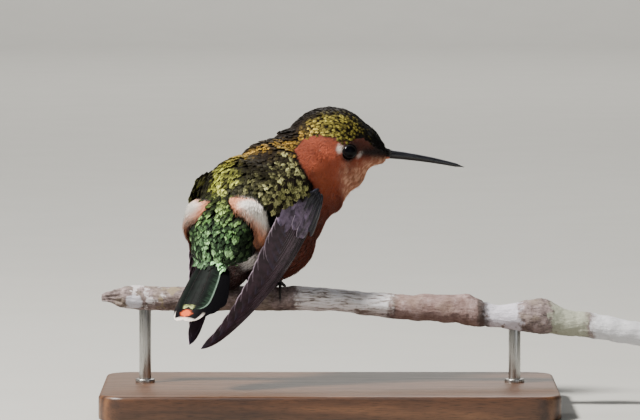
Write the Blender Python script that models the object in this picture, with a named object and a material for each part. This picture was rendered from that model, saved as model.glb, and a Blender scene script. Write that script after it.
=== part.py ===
"""A life-size woodstar hummingbird, hunched on a short cut twig that two rods hold over a flat base.

Metres, +Z up. The origin is the middle of the base's underside. The twig lies along X. The bird faces
away from -Y and to its right, so the side that the viewer sees from -Y is its back and right flank.
Lengths in the constants are in millimetres, and MM turns them into metres.
"""

import math

import bmesh
import bpy
from mathutils import Matrix, Vector

MM = 0.001
GAP = 0.3  # clear space between neighbouring solids

# The stand: a flat base and two rods up to the twig.
BASE_LENGTH, BASE_DEPTH, BASE_THICKNESS = 84.0, 46.0, 4.5
BASE_CORNER = 5.0
BASE_EDGE = 0.7
ROD_RADIUS = 1.1
ROD_SIDES = 16
ROD_SPREAD = 34.2  # from the base's middle to each rod
ROD_SINK = 2.5  # how deep a rod goes into the base
ROD_BITE = 1.0  # how deep it goes into the twig
ROD_CLEARANCE = 0.1

# The twig. The feet hold it at FEET, a point on its axis.
FEET = Vector((-12.0, 3.0, 20.0))
PERCH_RADIUS = 2.35
PERCH_SIDES = 12

# The bird's bill, eyes, legs and quills.
BILL_LENGTH = 14.6
BILL_HIDDEN = 2.2  # the part of the bill inside the feathers of the face
BILL_ROOT_RADIUS, BILL_TIP_RADIUS = 0.95, 0.26
BILL_DROOP = 1.1  # how far the tip falls below a straight line
BILL_STATIONS = 13
BILL_ARC = 6  # points on each side of a mandible's section
# Each mandible fills the bill's section between two heights, as shares of its radius. A slit parts them.
MANDIBLES = {"upper": (0.98, 0.12), "lower": (0.0, -0.98)}
EYE_RADIUS = 1.6
TOE_RADIUS = 0.3
VANE_THICKNESS = 0.55
WING_LENGTH = 37.5  # from the wrist to the tip


# ---------------------------------------------------------------- helpers

def clear_scene():
    for old in list(bpy.data.objects):
        bpy.data.objects.remove(old)


def finish_of(name, colour, roughness, metallic=0.0):
    """A Principled material with the piece's colour, roughness and metallic value."""
    made = bpy.data.materials.new(name)
    made.use_nodes = True
    shader = made.node_tree.nodes["Principled BSDF"]
    shader.inputs["Base Color"].default_value = (*colour, 1.0)
    shader.inputs["Roughness"].default_value = roughness
    shader.inputs["Metallic"].default_value = metallic
    return made


def add(name, bm, finish=None, smooth=True):
    """Links a bmesh in millimetres as one object in metres, with its normals out."""
    bmesh.ops.recalc_face_normals(bm, faces=bm.faces)
    bmesh.ops.scale(bm, vec=(MM, MM, MM), verts=bm.verts)
    mesh = bpy.data.meshes.new(name)
    bm.to_mesh(mesh)
    bm.free()
    made = bpy.data.objects.new(name, mesh)
    bpy.context.scene.collection.objects.link(made)
    if finish:
        mesh.materials.append(finish)
    if smooth:
        mesh.shade_smooth()
        mesh.set_sharp_from_angle(angle=math.radians(50))
    return made


def loft(rings):
    """A closed bmesh through rings of equal length, with flat caps."""
    bm = bmesh.new()
    rows = [[bm.verts.new(p) for p in ring] for ring in rings]
    count = len(rows[0])
    for near, far in zip(rows, rows[1:]):
        for i in range(count):
            j = (i + 1) % count
            bm.faces.new((near[i], near[j], far[j], far[i]))
    bm.faces.new(rows[0])
    bm.faces.new(rows[-1])
    return bm


def turned(heading, pitch):
    """The rotation that takes +X to a heading, in degrees to the right of +Y, and to a pitch above the horizon.

    It takes +Z to the back's side, and -Y to the bird's right.
    """
    return Matrix.Rotation(math.radians(90 - heading), 3, "Z") @ Matrix.Rotation(math.radians(-pitch), 3, "Y")


def ellipsoid(centre, radii, rotation, fine=3):
    bm = bmesh.new()
    bmesh.ops.create_icosphere(bm, subdivisions=fine, radius=1.0)
    place = Matrix.Translation(centre) @ rotation.to_4x4() @ Matrix.Diagonal((*radii, 1.0))
    bmesh.ops.transform(bm, matrix=place, verts=bm.verts)
    return bm


def applied(made):
    """Bakes an object's modifiers into its mesh."""
    graph = bpy.context.evaluated_depsgraph_get()
    mesh = bpy.data.meshes.new_from_object(made.evaluated_get(graph))
    made.modifiers.clear()
    made.data = mesh
    return made


def combine(made, other, operation):
    """Joins or cuts made with other, which is then removed."""
    modifier = made.modifiers.new(operation, "BOOLEAN")
    modifier.operation = operation
    modifier.solver = "EXACT"
    modifier.object = other
    applied(made)
    bpy.data.objects.remove(other)
    return made


def smooth_step(x):
    x = min(1.0, max(0.0, x))
    return x * x * (3 - 2 * x)


def curve_through(points, count):
    """Points at even steps on a smooth (Catmull-Rom) curve through the given ones."""
    padded = [points[0] * 2 - points[1], *points, points[-1] * 2 - points[-2]]
    spans = len(points) - 1
    found = []
    for k in range(count):
        place = spans * k / (count - 1)
        i = min(int(place), spans - 1)
        t = place - i
        a, b, c, d = padded[i : i + 4]
        found.append(
            0.5 * (2 * b + (c - a) * t + (2 * a - 5 * b + 4 * c - d) * t**2 + (3 * b - a - 3 * c + d) * t**3)
        )
    return found


def tube(path, radii, sides):
    """Rings of the given radii round a path."""
    rings = []
    start = (path[1] - path[0]).normalized()
    side = Vector((0, 0, 1)) if abs(start.z) < 0.9 else Vector((1, 0, 0))
    for k, (point, radius) in enumerate(zip(path, radii)):
        along = (path[min(k + 1, len(path) - 1)] - path[max(k - 1, 0)]).normalized()
        across = along.cross(side).normalized()
        side = across.cross(along).normalized()
        rings.append([
            point + radius * (math.cos(a) * across + math.sin(a) * side)
            for a in (2 * math.pi * i / sides for i in range(sides))
        ])
    return rings


# ---------------------------------------------------------------- stand and twig

# Points on the twig's axis, measured from the feet: along X, up, and the radius as a share of PERCH_RADIUS.
PERCH_COURSE = (
    (-30.2, 0.2, 0.30),
    (-28.4, 0.3, 0.55),
    (-25.4, 0.3, 0.98),
    (-17.0, 0.0, 1.00),
    (-5.0, 0.0, 1.00),
    (7.0, 0.1, 1.00),
    (14.4, -0.3, 0.93),
    (24.6, -1.4, 1.04),
    (34.5, -1.8, 1.16),
    (38.0, -2.3, 1.20),
    (43.0, -3.2, 0.98),
    (50.7, -3.3, 1.38),
    (55.0, -4.3, 1.10),
    (61.0, -5.0, 1.04),
    (71.0, -6.9, 0.98),
)
PERCH_RINGS = 38


def perch_axis():
    """(points, radii) along the twig, from its broken end to its sawn end."""
    line = curve_through([FEET + Vector((x, 0, z)) for x, z, _ in PERCH_COURSE], PERCH_RINGS)
    thick = curve_through([Vector((r, 0, 0)) for _, _, r in PERCH_COURSE], PERCH_RINGS)
    return line, [PERCH_RADIUS * t.x for t in thick]


def perch_height_at(x):
    """(axis height, radius) of the twig at a place along X."""
    line, radii = perch_axis()
    for (a, b), (near, far) in zip(zip(line, line[1:]), zip(radii, radii[1:])):
        if a.x <= x <= b.x:
            share = (x - a.x) / (b.x - a.x)
            return a.z + share * (b.z - a.z), near + share * (far - near)
    raise ValueError("the rod stands past the twig's end")


def make_perch(finish):
    line, radii = perch_axis()
    perch = add("perch", loft(tube(line, radii, PERCH_SIDES)), finish)
    for x in (-ROD_SPREAD, ROD_SPREAD):
        combine(perch, rod_shape("socket", x, ROD_CLEARANCE), "DIFFERENCE")
    return perch


def rod_shape(name, x, grow, finish=None):
    """A rod from inside the base up into the twig. A grown one is the hole that it sits in."""
    axis_z, radius = perch_height_at(x)
    low = BASE_THICKNESS - ROD_SINK - (grow + GAP if grow else 0)
    high = axis_z - radius + ROD_BITE + (grow + GAP if grow else 0)
    rings = tube([Vector((x, FEET.y, low)), Vector((x, FEET.y, high))], [ROD_RADIUS + grow] * 2, ROD_SIDES)
    return add(name, loft(rings), finish)


def make_base(finish):
    """A flat slab with round corners and a small chamfer round its top."""
    bm = bmesh.new()
    bmesh.ops.create_cube(bm, size=1.0)
    bmesh.ops.scale(bm, vec=(BASE_LENGTH, BASE_DEPTH, BASE_THICKNESS), verts=bm.verts)
    bmesh.ops.translate(bm, vec=(0, 0, BASE_THICKNESS / 2), verts=bm.verts)
    upright = [e for e in bm.edges if abs(e.verts[0].co.z - e.verts[1].co.z) > 1]
    rounded = {"profile": 0.5, "affect": "EDGES", "material": -1}
    bmesh.ops.bevel(bm, geom=upright, offset=BASE_CORNER, segments=6, **rounded)
    rim = [e for e in bm.edges if min(v.co.z for v in e.verts) > BASE_THICKNESS - 0.01]
    bmesh.ops.bevel(bm, geom=rim, offset=BASE_EDGE, segments=2, **rounded)
    base = add("stand_base", bm, finish)
    for x in (-ROD_SPREAD, ROD_SPREAD):
        combine(base, rod_shape("socket", x, ROD_CLEARANCE), "DIFFERENCE")
    return base


# ---------------------------------------------------------------- body

# The bird's fluffed form, from the feet: where each mass lies (X, Y, Z), its heading and pitch, and its half
# length along that line, half width and half depth.
BODY_MASSES = {
    "vent": ((-7.0, -6.6, 7.6), 31, 45, (6.6, 6.2, 4.6)),
    "rump": ((-5.6, -5.4, 12.6), 31, 52, (8.8, 8.8, 8.4)),
    "back": ((-2.0, -0.6, 17.8), 36, 46, (10.0, 10.4, 9.6)),
    "mantle": ((2.6, 2.8, 21.6), 46, 36, (8.8, 9.4, 8.4)),
    "belly": ((1.8, 1.4, 11.6), 36, 55, (9.0, 8.6, 7.8)),
    "breast": ((4.8, 4.0, 16.4), 50, 62, (8.4, 8.0, 7.2)),
}
NECK_MASSES = {
    "neck": ((7.6, 5.2, 24.6), 62, 28, (7.4, 8.2, 7.8)),
    "hackles": ((10.2, 5.6, 20.8), 72, 45, (7.0, 7.2, 6.0)),
}
HEAD_MASSES = {
    "cranium": ((11.9, 6.4, 27.8), 84, 4, (8.4, 7.2, 7.7)),
    "forehead": ((16.6, 6.8, 28.2), 84, -22, (5.6, 5.0, 4.6)),
    "face": ((18.4, 7.0, 26.9), 84, -10, (5.2, 3.2, 2.9)),
    "cheek": ((12.6, 6.5, 24.6), 84, -30, (7.0, 6.8, 5.6)),
    "throat": ((13.8, 6.8, 23.6), 84, -46, (4.1, 4.5, 3.3)),
}
FLANK_ANGLE = 50  # from the back's midline round to each pale flank tuft
FLANK_REACH = 7.7
FLANK_RADII = (4.4, 3.2, 2.0)
BODY_VOXEL = 0.7
BODY_SMOOTHING = 8
BODY_TRIANGLES = 2500

# Each cut is a point on the plane, from the feet, and the plane's heading and pitch, towards the head.
HEAD_CUT = ((7.8, 5.2, 25.6), 72, 34)
NECK_CUT = ((4.6, 3.6, 22.6), 62, 30)

HEAD_HEADING = 84
BILL_ROOT = Vector((22.6, 7.3, 26.4))  # where the bill leaves the face, from the feet
BILL_PITCH = -5.5
EYE_AHEAD, EYE_HEIGHT = 2.95, 27.3  # ahead of the cranium's middle, and up from the feet
EYE_PROUD = 0.6  # how far the eyeball stands out of the plumage


def flank_masses():
    """The two pale tufts, mirrored across the rump's own middle plane."""
    centre, heading, pitch, _ = BODY_MASSES["rump"]
    frame = turned(heading, pitch)
    angle = math.radians(FLANK_ANGLE)
    for side in (-1, 1):
        out = frame @ Vector((0.05, side * math.sin(angle), math.cos(angle)))
        lean = frame @ Matrix.Rotation(-side * angle, 3, "X")
        yield FEET + Vector(centre) + out * FLANK_REACH, FLANK_RADII, lean


def body_blank():
    """All the masses melted into one smooth closed form."""
    bm = bmesh.new()
    masses = [
        (FEET + Vector(centre), radii, turned(heading, pitch))
        for part in (BODY_MASSES, NECK_MASSES, HEAD_MASSES)
        for centre, heading, pitch, radii in part.values()
    ]
    for centre, radii, rotation in (*masses, *flank_masses()):
        mass = ellipsoid(centre, radii, rotation)
        spare = bpy.data.meshes.new("mass")
        mass.to_mesh(spare)
        mass.free()
        bm.from_mesh(spare)
        bpy.data.meshes.remove(spare)
    blank = add("body_blank", bm)
    melt = blank.modifiers.new("melt", "REMESH")
    melt.mode = "VOXEL"
    melt.voxel_size = BODY_VOXEL * MM
    soften = blank.modifiers.new("soften", "SMOOTH")
    soften.factor = 0.5
    soften.iterations = BODY_SMOOTHING
    applied(blank)
    blank.data.calc_loop_triangles()
    thin = blank.modifiers.new("thin", "DECIMATE")
    thin.ratio = BODY_TRIANGLES / len(blank.data.loop_triangles)
    return applied(blank)


def skin_along(blank, start, direction):
    """Where a ray from start (mm) first meets the blank, in mm, or None."""
    hit, place, _, _ = blank.ray_cast(start * MM, direction)
    return place / MM if hit else None


def between(blank, name, planes, finish):
    """The part of the blank on the inner side of each plane: (point, outward normal)."""
    bm = bmesh.new()
    bm.from_mesh(blank.data)
    for point, outward in planes:
        bmesh.ops.bisect_plane(
            bm, geom=[*bm.verts, *bm.edges, *bm.faces], plane_co=point * MM, plane_no=outward,
            clear_outer=True, dist=1e-7,
        )
        rim = [e for e in bm.edges if e.is_boundary]
        bmesh.ops.triangle_fill(bm, edges=rim, use_beauty=True)
    bmesh.ops.scale(bm, vec=(1 / MM, 1 / MM, 1 / MM), verts=bm.verts)
    return add(name, bm, finish)


def cut_plane(cut, shift):
    """(point, normal towards the head) of a cut, moved along its normal."""
    centre, heading, pitch = cut
    normal = turned(heading, pitch) @ Vector((1, 0, 0))
    return FEET + Vector(centre) + normal * shift, normal


# ---------------------------------------------------------------- bill and eyes

def bill_rings(upper, lower, grow=0.0):
    """Rings of the bill's section between two heights, each a share of the bill's radius."""
    frame = turned(HEAD_HEADING, BILL_PITCH)
    low, high = math.asin(lower), math.asin(upper)
    left = [low + (high - low) * i / (BILL_ARC - 1) for i in range(BILL_ARC)]
    angles = left + [math.pi - a for a in reversed(left)]
    rings = []
    for k in range(BILL_STATIONS):
        share = k / (BILL_STATIONS - 1)
        reach = share * (BILL_LENGTH + BILL_HIDDEN) - BILL_HIDDEN
        drop = BILL_DROOP * max(0.0, reach / BILL_LENGTH) ** 2
        sharp = min(1.0, (1 - share) * 9 + 0.35)  # only the last stretch comes to a point
        taper = BILL_TIP_RADIUS + (BILL_ROOT_RADIUS - BILL_TIP_RADIUS) * (1 - share) ** 0.8
        radius = taper * sharp + grow
        middle = FEET + BILL_ROOT + frame @ Vector((reach, 0, 0)) - Vector((0, 0, drop))
        section = [Vector((0, radius * math.cos(a), radius * math.sin(a))) for a in angles]
        rings.append([middle + frame @ point for point in section])
    return rings


def make_bill(head, finish):
    """The two mandibles, and the hole in the face that they leave by."""
    combine(head, add("bill_hole", loft(bill_rings(0.999, -0.999, GAP / 2))), "DIFFERENCE")
    for label, (upper, lower) in MANDIBLES.items():
        add("bill_" + label, loft(bill_rings(upper, lower)), finish)


def make_eyes(blank, head, finish):
    """Each eyeball, sunk where a line across the head meets its side, and its socket."""
    look = turned(HEAD_HEADING, 0)
    across = look @ Vector((0, 1, 0))
    middle = FEET + Vector(HEAD_MASSES["cranium"][0]) + look @ Vector((EYE_AHEAD, 0, 0))
    middle.z = FEET.z + EYE_HEIGHT
    for label, side in (("left", 1), ("right", -1)):
        surface = skin_along(blank, middle + across * side * 20, -across * side)
        ball = surface - across * side * (EYE_RADIUS - EYE_PROUD)
        socket = add("socket", ellipsoid(ball, [EYE_RADIUS + GAP / 2] * 3, look, 2))
        combine(head, socket, "DIFFERENCE")
        add("eye_" + label, ellipsoid(ball, [EYE_RADIUS] * 3, look, 2), finish)


# ---------------------------------------------------------------- wings and tail

# Each wing's wrist and tip, from the feet, how far its leading edge bows forward, and how far it arches over
# the body. The left wing, which passes closer to the twig, is the straighter one.
WINGS = {
    "right": (1, Vector((8.9, -3.2, 19.4)), Vector((-11.2, -16.3, -8.1)), 4.6, 2.0),
    "left": (-1, Vector((-3.3, 10.0, 18.9)), Vector((-13.4, -15.7, -7.4)), 2.5, 3.6),
}
WING_HEADING = 46  # the upright plane between the wings
WING_CAMBER = 0.022
WING_CROWN = 3.5  # where across the wing its arch is highest
WING_START = -1.5  # the rounded wrist reaches this far above its own centre
WING_ROUND = 7.0  # the length over which the wrist widens
WING_STATIONS, WING_COLUMNS = 30, 6
# How far each quill reaches along the wing, innermost first, and its tip's distance from the leading edge.
PRIMARIES = [(18.5 + 2.1 * i, 10.4 - 0.86 * i) for i in range(10)]
SECONDARIES = [(11.0 + 1.5 * i, 11.0 - 0.2 * i) for i in range(5)]
TIP_ROUND = 3.0  # the length of a quill's rounded tip
# Where the secondaries, the coverts and the shoulder end, over what length they thin out, and their height.
WING_LAYERS = ((17.0, 4.0, 0.3), (9.5, 2.5, 0.5), (4.0, 4.0, 0.5))


def quill_edge(quills, s):
    """The widest of the quills that still reach a distance s: each is (reach, distance from the axis)."""
    widest = 0.3
    for reach, width in quills:
        past = (s - (reach - TIP_ROUND)) / TIP_ROUND
        if past < 1:
            widest = max(widest, width * math.sqrt(1 - max(0.0, past) ** 2))
    return widest


def wing_depth(s, t):
    """How thick the folded wing is: one layer of quills, then the secondaries, then the coverts."""
    layers = sum(height * smooth_step((end - s) / fade) for end, fade, height in WING_LAYERS)
    return VANE_THICKNESS + layers * math.sqrt(max(0.05, 1 - (2 * t - 1) ** 4))


def wing_rings(label, grow=0.0):
    """Rings across a folded wing, from its wrist to its tip."""
    side, bend, tip, bulge, bow = WINGS[label]
    along = (tip - bend).normalized()
    length = (tip - bend).length
    outer_side = turned(WING_HEADING, 0) @ Vector((0, -side, 0))
    out = (outer_side - along * outer_side.dot(along)).normalized()
    back = along.cross(out).normalized() * side
    rings = []
    for k in range(WING_STATIONS):
        s = WING_START - grow + (length - WING_START + 2 * grow) * k / (WING_STATIONS - 1)
        u = min(1.0, max(0.0, (s - WING_START) / (length - WING_START)))
        rise = bow * math.sin(math.pi * u**0.6)
        opening = min(1.0, max(0.05, (s - WING_START) / WING_ROUND))
        width = quill_edge(PRIMARIES + SECONDARIES, s * WING_LENGTH / length)
        width *= math.sqrt(1 - (1 - opening) ** 2)
        lead = -bulge * (1 - (2 * u - 1) ** 2) ** 0.75 - grow
        trail = lead + width + 2 * grow
        top, under = [], []
        for j in range(WING_COLUMNS):
            t = j / (WING_COLUMNS - 1)
            across = lead + (trail - lead) * t
            lift = rise - WING_CAMBER * (across - WING_CROWN) ** 2
            flat = FEET + bend + along * s + back * across + out * lift
            under.append(flat - out * grow)
            top.append(flat + out * (wing_depth(s, t) + grow))
        rings.append(top + under[::-1])
    return rings


TAIL_TIP = Vector((-14.7, -18.6, -2.5))  # from the feet
TAIL_HEADING, TAIL_PITCH = 31, 47
TAIL_LENGTH = 19.0
TAIL_ROOT_SHARE = 0.45  # the root's width as a share of the tip's
TAIL_FAN = 13.0  # the length over which the tail widens
TAIL_CAMBER = 0.10
TAIL_STATIONS, TAIL_COLUMNS = 18, 7
# How far each tail feather stops short of the longest, from the middle out, and its outer edge's distance.
RECTRICES = [(0.5, 2.2), (0.0, 3.4), (0.6, 4.3), (1.7, 4.9), (3.2, 5.3)]


def tail_rings(grow=0.0):
    """Rings across the closed tail, from its root inside the coverts to its round tip."""
    frame = turned(TAIL_HEADING, TAIL_PITCH)
    tip = FEET + TAIL_TIP
    quills = [(TAIL_LENGTH - short, width) for short, width in RECTRICES]
    rings = []
    for k in range(TAIL_STATIONS):
        s = (TAIL_LENGTH - 0.05) * (k / (TAIL_STATIONS - 1)) ** 0.8
        fan = TAIL_ROOT_SHARE + (1 - TAIL_ROOT_SHARE) * smooth_step(s / TAIL_FAN)
        width = quill_edge(quills, s) * fan + grow
        top, under = [], []
        for j in range(TAIL_COLUMNS):
            across = 2 * j / (TAIL_COLUMNS - 1) - 1
            depth = VANE_THICKNESS / 2 + 0.45 * (1 - across**2) * (1 - 0.6 * s / TAIL_LENGTH) + grow
            middle = Vector((TAIL_LENGTH - s, width * across, -TAIL_CAMBER * (width * across) ** 2))
            top.append(tip + frame @ (middle + Vector((0, 0, depth))))
            under.append(tip + frame @ (middle - Vector((0, 0, depth))))
        rings.append(top + under[::-1])
    return rings


# ---------------------------------------------------------------- legs and feet

FOOT_SPREAD = 2.8  # from the middle of the grip to each foot, along the twig
TOE_SPREAD = 0.95
TOE_GAP = 0.12
TOE_RINGS, TOE_SIDES = 8, 6
CLAW_SHARE = 0.72  # where along a toe its claw starts
TARSUS_RADIUS = 0.42
TARSUS_SIDES = 10
TARSUS_RISE = Vector((-0.5, -0.6, 5.0))  # from the foot to the hidden joint
FOOT_PAD = (0.75, 0.5, 0.42)
# Each toe's side-step from the foot's middle, and how many degrees it wraps round the twig, ahead or behind.
TOES = {"inner": (-1, 118), "middle": (0, 128), "outer": (1, 118), "hind": (0, -112)}


def sole_at(x):
    """The middle of a foot that stands on the twig."""
    axis_z, perch_radius = perch_height_at(x)
    return Vector((x, FEET.y, axis_z + perch_radius + TOE_GAP + TOE_RADIUS))


def toe_shape(x, side_step, wrap):
    """A toe that curls round the twig and ends in its claw."""
    axis_z, perch_radius = perch_height_at(x)
    path, radii = [], []
    for k in range(TOE_RINGS):
        share = k / (TOE_RINGS - 1)
        angle = math.radians(wrap * share)
        claw = smooth_step((share - CLAW_SHARE) / (1 - CLAW_SHARE))
        reach = perch_radius + TOE_GAP + TOE_RADIUS + 0.25 * math.sin(math.pi * claw)
        spread = TOE_SPREAD * side_step * smooth_step(share * 2.4)
        aside, above = reach * math.sin(angle), reach * math.cos(angle)
        path.append(Vector((x + spread, FEET.y + aside, axis_z + above)))
        radii.append(TOE_RADIUS * (1 - claw + claw * (0.7 - 0.4 * claw)))
    return loft(tube(path, radii, TOE_SIDES))


def leg_shape(name, x, grow, finish=None):
    """A tarsus from just above the foot to its joint in the feathers. A grown one is its hole."""
    foot = sole_at(x) + Vector((0, 0, FOOT_PAD[2] + GAP / 2))
    ankle = sole_at(x) + TARSUS_RISE
    return add(name, loft(tube([foot, ankle], [TARSUS_RADIUS + grow] * 2, TARSUS_SIDES)), finish)


def make_leg(trunk, label, x, finish):
    combine(trunk, leg_shape("leg_hole", x, GAP / 2), "DIFFERENCE")
    leg_shape("leg_" + label, x, 0.0, finish)
    foot = add("foot_" + label, ellipsoid(sole_at(x), FOOT_PAD, Matrix.Identity(3), 2), finish)
    for side_step, wrap in TOES.values():
        combine(foot, add("toe", toe_shape(x, side_step, wrap)), "UNION")


def main():
    clear_scene()
    bark = finish_of("bark", (0.30, 0.24, 0.20), 0.85)
    walnut = finish_of("walnut", (0.10, 0.055, 0.035), 0.45)
    steel = finish_of("steel", (0.62, 0.60, 0.56), 0.30, 1.0)
    green = finish_of("green_plumage", (0.16, 0.20, 0.06), 0.45, 0.3)
    rufous = finish_of("rufous_plumage", (0.36, 0.10, 0.05), 0.80)
    quill = finish_of("quill", (0.06, 0.045, 0.065), 0.45)
    horn = finish_of("horn", (0.012, 0.012, 0.014), 0.35)

    make_base(walnut)
    for label, x in (("left", -ROD_SPREAD), ("right", ROD_SPREAD)):
        rod_shape("stand_rod_" + label, x, 0.0, steel)
    make_perch(bark)

    blank = body_blank()
    head_point, head_normal = cut_plane(HEAD_CUT, GAP / 2)
    neck_top, _ = cut_plane(HEAD_CUT, -GAP / 2)
    neck_point, neck_normal = cut_plane(NECK_CUT, GAP / 2)
    trunk_top, _ = cut_plane(NECK_CUT, -GAP / 2)
    head = between(blank, "head", [(head_point, -head_normal)], rufous)
    neck = between(blank, "neck", [(neck_top, head_normal), (neck_point, -neck_normal)], rufous)
    trunk = between(blank, "trunk", [(trunk_top, neck_normal)], green)

    make_bill(head, horn)
    make_eyes(blank, head, horn)
    for label in WINGS:
        for body in (trunk, neck):
            combine(body, add("wing_bed", loft(wing_rings(label, GAP / 2))), "DIFFERENCE")
        add("wing_" + label, loft(wing_rings(label)), quill)
    combine(trunk, add("tail_hole", loft(tail_rings(GAP / 2))), "DIFFERENCE")
    add("tail", loft(tail_rings()), quill)
    for label, side in (("right", 1), ("left", -1)):
        make_leg(trunk, label, FEET.x + side * FOOT_SPREAD, horn)
    bpy.data.objects.remove(blank)


main()
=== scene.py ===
"""A life-size woodstar hummingbird, hunched on a cut twig over a display base: the looks of every piece."""
import math

import bmesh
import bpy
import numpy as np
from mathutils import Matrix, Vector, noise
from mathutils.bvhtree import BVHTree


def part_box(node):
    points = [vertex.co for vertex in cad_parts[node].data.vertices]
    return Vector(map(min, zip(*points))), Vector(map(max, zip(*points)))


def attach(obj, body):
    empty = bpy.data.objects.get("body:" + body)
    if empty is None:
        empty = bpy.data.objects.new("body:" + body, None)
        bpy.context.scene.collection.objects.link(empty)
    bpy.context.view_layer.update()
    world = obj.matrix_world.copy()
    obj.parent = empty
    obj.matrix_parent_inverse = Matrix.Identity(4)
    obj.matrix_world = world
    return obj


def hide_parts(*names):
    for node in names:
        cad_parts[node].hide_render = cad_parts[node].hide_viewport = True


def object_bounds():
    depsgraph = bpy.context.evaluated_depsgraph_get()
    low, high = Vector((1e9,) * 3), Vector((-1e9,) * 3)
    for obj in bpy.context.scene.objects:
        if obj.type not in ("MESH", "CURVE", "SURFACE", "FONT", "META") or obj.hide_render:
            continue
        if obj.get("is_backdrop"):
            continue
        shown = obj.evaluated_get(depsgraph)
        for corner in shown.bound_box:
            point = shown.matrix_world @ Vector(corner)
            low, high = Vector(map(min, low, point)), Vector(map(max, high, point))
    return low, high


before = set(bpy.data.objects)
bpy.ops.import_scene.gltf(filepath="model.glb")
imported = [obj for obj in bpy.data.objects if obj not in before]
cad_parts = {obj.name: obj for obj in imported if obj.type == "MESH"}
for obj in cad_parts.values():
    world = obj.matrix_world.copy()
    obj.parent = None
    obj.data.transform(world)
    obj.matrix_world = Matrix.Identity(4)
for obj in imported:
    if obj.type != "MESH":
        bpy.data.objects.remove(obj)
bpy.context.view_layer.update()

# ---------------------------------------------------------------- base
# The display base: a small flat slab of oiled walnut with round corners and an eased edge. It is planed
# and sanded, so its grain runs straight along it.

MM = 0.001
BASE_CORNER, BASE_EDGE, BASE_FOOT_EDGE = 5.0, 0.7, 0.25  # mm, as are all the lengths below


def paint(red, green, blue):
    """A colour as a painter would mix it, 0 to 255, on the shaders' linear scale."""
    return tuple(((c / 255 + 0.055) / 1.055) ** 2.4 if c > 10 else c / 3295 for c in (red, green, blue))


class Wire:
    """A node's output. What wires are added to or multiplied by makes a node too."""

    def __init__(self, socket):
        self.socket = socket

    def __add__(self, other):
        return calculated("ADD", self, other)

    def __sub__(self, other):
        return calculated("SUBTRACT", self, other)

    def __mul__(self, other):
        return calculated("MULTIPLY", self, other)


def feed(socket, value):
    """Gives a socket a value, or another node's output to read."""
    if isinstance(value, Wire):
        tree.links.new(value.socket, socket)
    else:
        socket.default_value = (*value, 1.0) if socket.type == "RGBA" else value


def finish_of(name, **values):
    """Starts a material. Its shader gets the even values, and the nodes made next are its own."""
    global tree, shader
    made = bpy.data.materials.new(name)
    made.use_nodes = True
    tree = made.node_tree
    shader = tree.nodes["Principled BSDF"]
    dress(**values)
    return made


def dress(**values):
    """Feeds the shader's sockets."""
    for socket, value in values.items():
        feed(shader.inputs[socket.replace("_", " ")], value)


def node(kind, inputs, output=0, **settings):
    """Adds a node and gives one of its outputs."""
    made = tree.nodes.new("ShaderNode" + kind)
    for key, value in settings.items():
        setattr(made, key, value)
    for key, value in inputs.items():
        feed(made.inputs[key], value)
    return Wire(made.outputs[output])


def calculated(operation, *values):
    return node("Math", dict(enumerate(values)), operation=operation)


def ramp(factor, *stops):
    """A ramp through stops, each (place, colour) or (place, grey)."""
    made = node("ValToRGB", {"Fac": factor})
    elements = made.socket.node.color_ramp.elements
    while len(elements) < len(stops):
        elements.new(0.5)
    for element, (place, colour) in zip(elements, stops):
        element.position = place
        element.color = (*(colour if isinstance(colour, tuple) else (colour,) * 3), 1.0)
    return made


def mix(factor, first, second, blend="MIX"):
    """The colour that two others make together."""
    return node("Mix", {0: factor, 6: first, 7: second}, 2, data_type="RGBA", blend_type=blend)


def shaded(colour, pattern):
    return mix(1.0, colour, pattern, "MULTIPLY")


def own_place(stretch=None):
    """The piece's own coordinates, stretched along the axes for a pattern with a grain."""
    where = node("TexCoord", {}, "Object")
    return node("Mapping", {"Vector": where, "Scale": stretch}) if stretch else where


def speckle(scale, detail=3.0, roughness=0.55, stretch=None, where=None):
    """A noise pattern's values, 0 to 1."""
    where = where or own_place(stretch)
    return node("TexNoise", {"Vector": where, "Scale": scale, "Detail": detail, "Roughness": roughness}, "Fac")


def relief(height, distance, strength):
    """Raises the surface by a pattern, distance metres high."""
    dress(Normal=node("Bump", {"Height": height, "Distance": distance, "Strength": strength}))


def bevel(bm, edges, offset, segments):
    bmesh.ops.bevel(bm, geom=edges, offset=offset, segments=segments, profile=0.5, affect="EDGES", material=-1)


def mesh_from(name, bm):
    mesh = bpy.data.meshes.new(name)
    bm.to_mesh(mesh)
    bm.free()
    return mesh


def placed(name, mesh, finish=None, smooth=0):
    """Puts a mesh in the scene and shades it smooth, but for edges sharper than an angle, if one is given."""
    made = bpy.data.objects.new(name, mesh)
    bpy.context.scene.collection.objects.link(made)
    if finish:
        mesh.materials.append(finish)
    mesh.shade_smooth()
    if smooth:
        mesh.set_sharp_from_angle(angle=math.radians(smooth))
    return made


def settle(name, mesh, finish, smooth, slot, replaces=()):
    """Makes a mesh one piece of the model, hung under the root's empty, and hides the solids that it replaces."""
    made = placed(name, mesh, finish, smooth)
    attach(made, "root")
    if replaces:
        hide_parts(*replaces)


def piece_of(name, bm, *rest):
    """Makes a bmesh in millimetres one finished piece."""
    bmesh.ops.recalc_face_normals(bm, faces=bm.faces)
    bmesh.ops.scale(bm, vec=(MM,) * 3, verts=bm.verts)
    settle(name, mesh_from(name, bm), *rest)


def box_of(name):
    """The low and high corners of a solid's box."""
    return [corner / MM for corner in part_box(name)]


base_low, base_high = box_of("stand_base")
bm = bmesh.new()
bmesh.ops.create_cube(bm, size=1.0)
bmesh.ops.scale(bm, vec=base_high - base_low, verts=bm.verts)
bmesh.ops.translate(bm, vec=(base_low + base_high) / 2, verts=bm.verts)
bevel(bm, [e for e in bm.edges if abs(e.verts[0].co.z - e.verts[1].co.z) > 1], BASE_CORNER, 14)
bevel(bm, [e for e in bm.edges if min(v.co.z for v in e.verts) > base_high.z - 0.01], BASE_EDGE, 5)
bevel(bm, [e for e in bm.edges if max(v.co.z for v in e.verts) < base_low.z + 0.01], BASE_FOOT_EDGE, 2)

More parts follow.
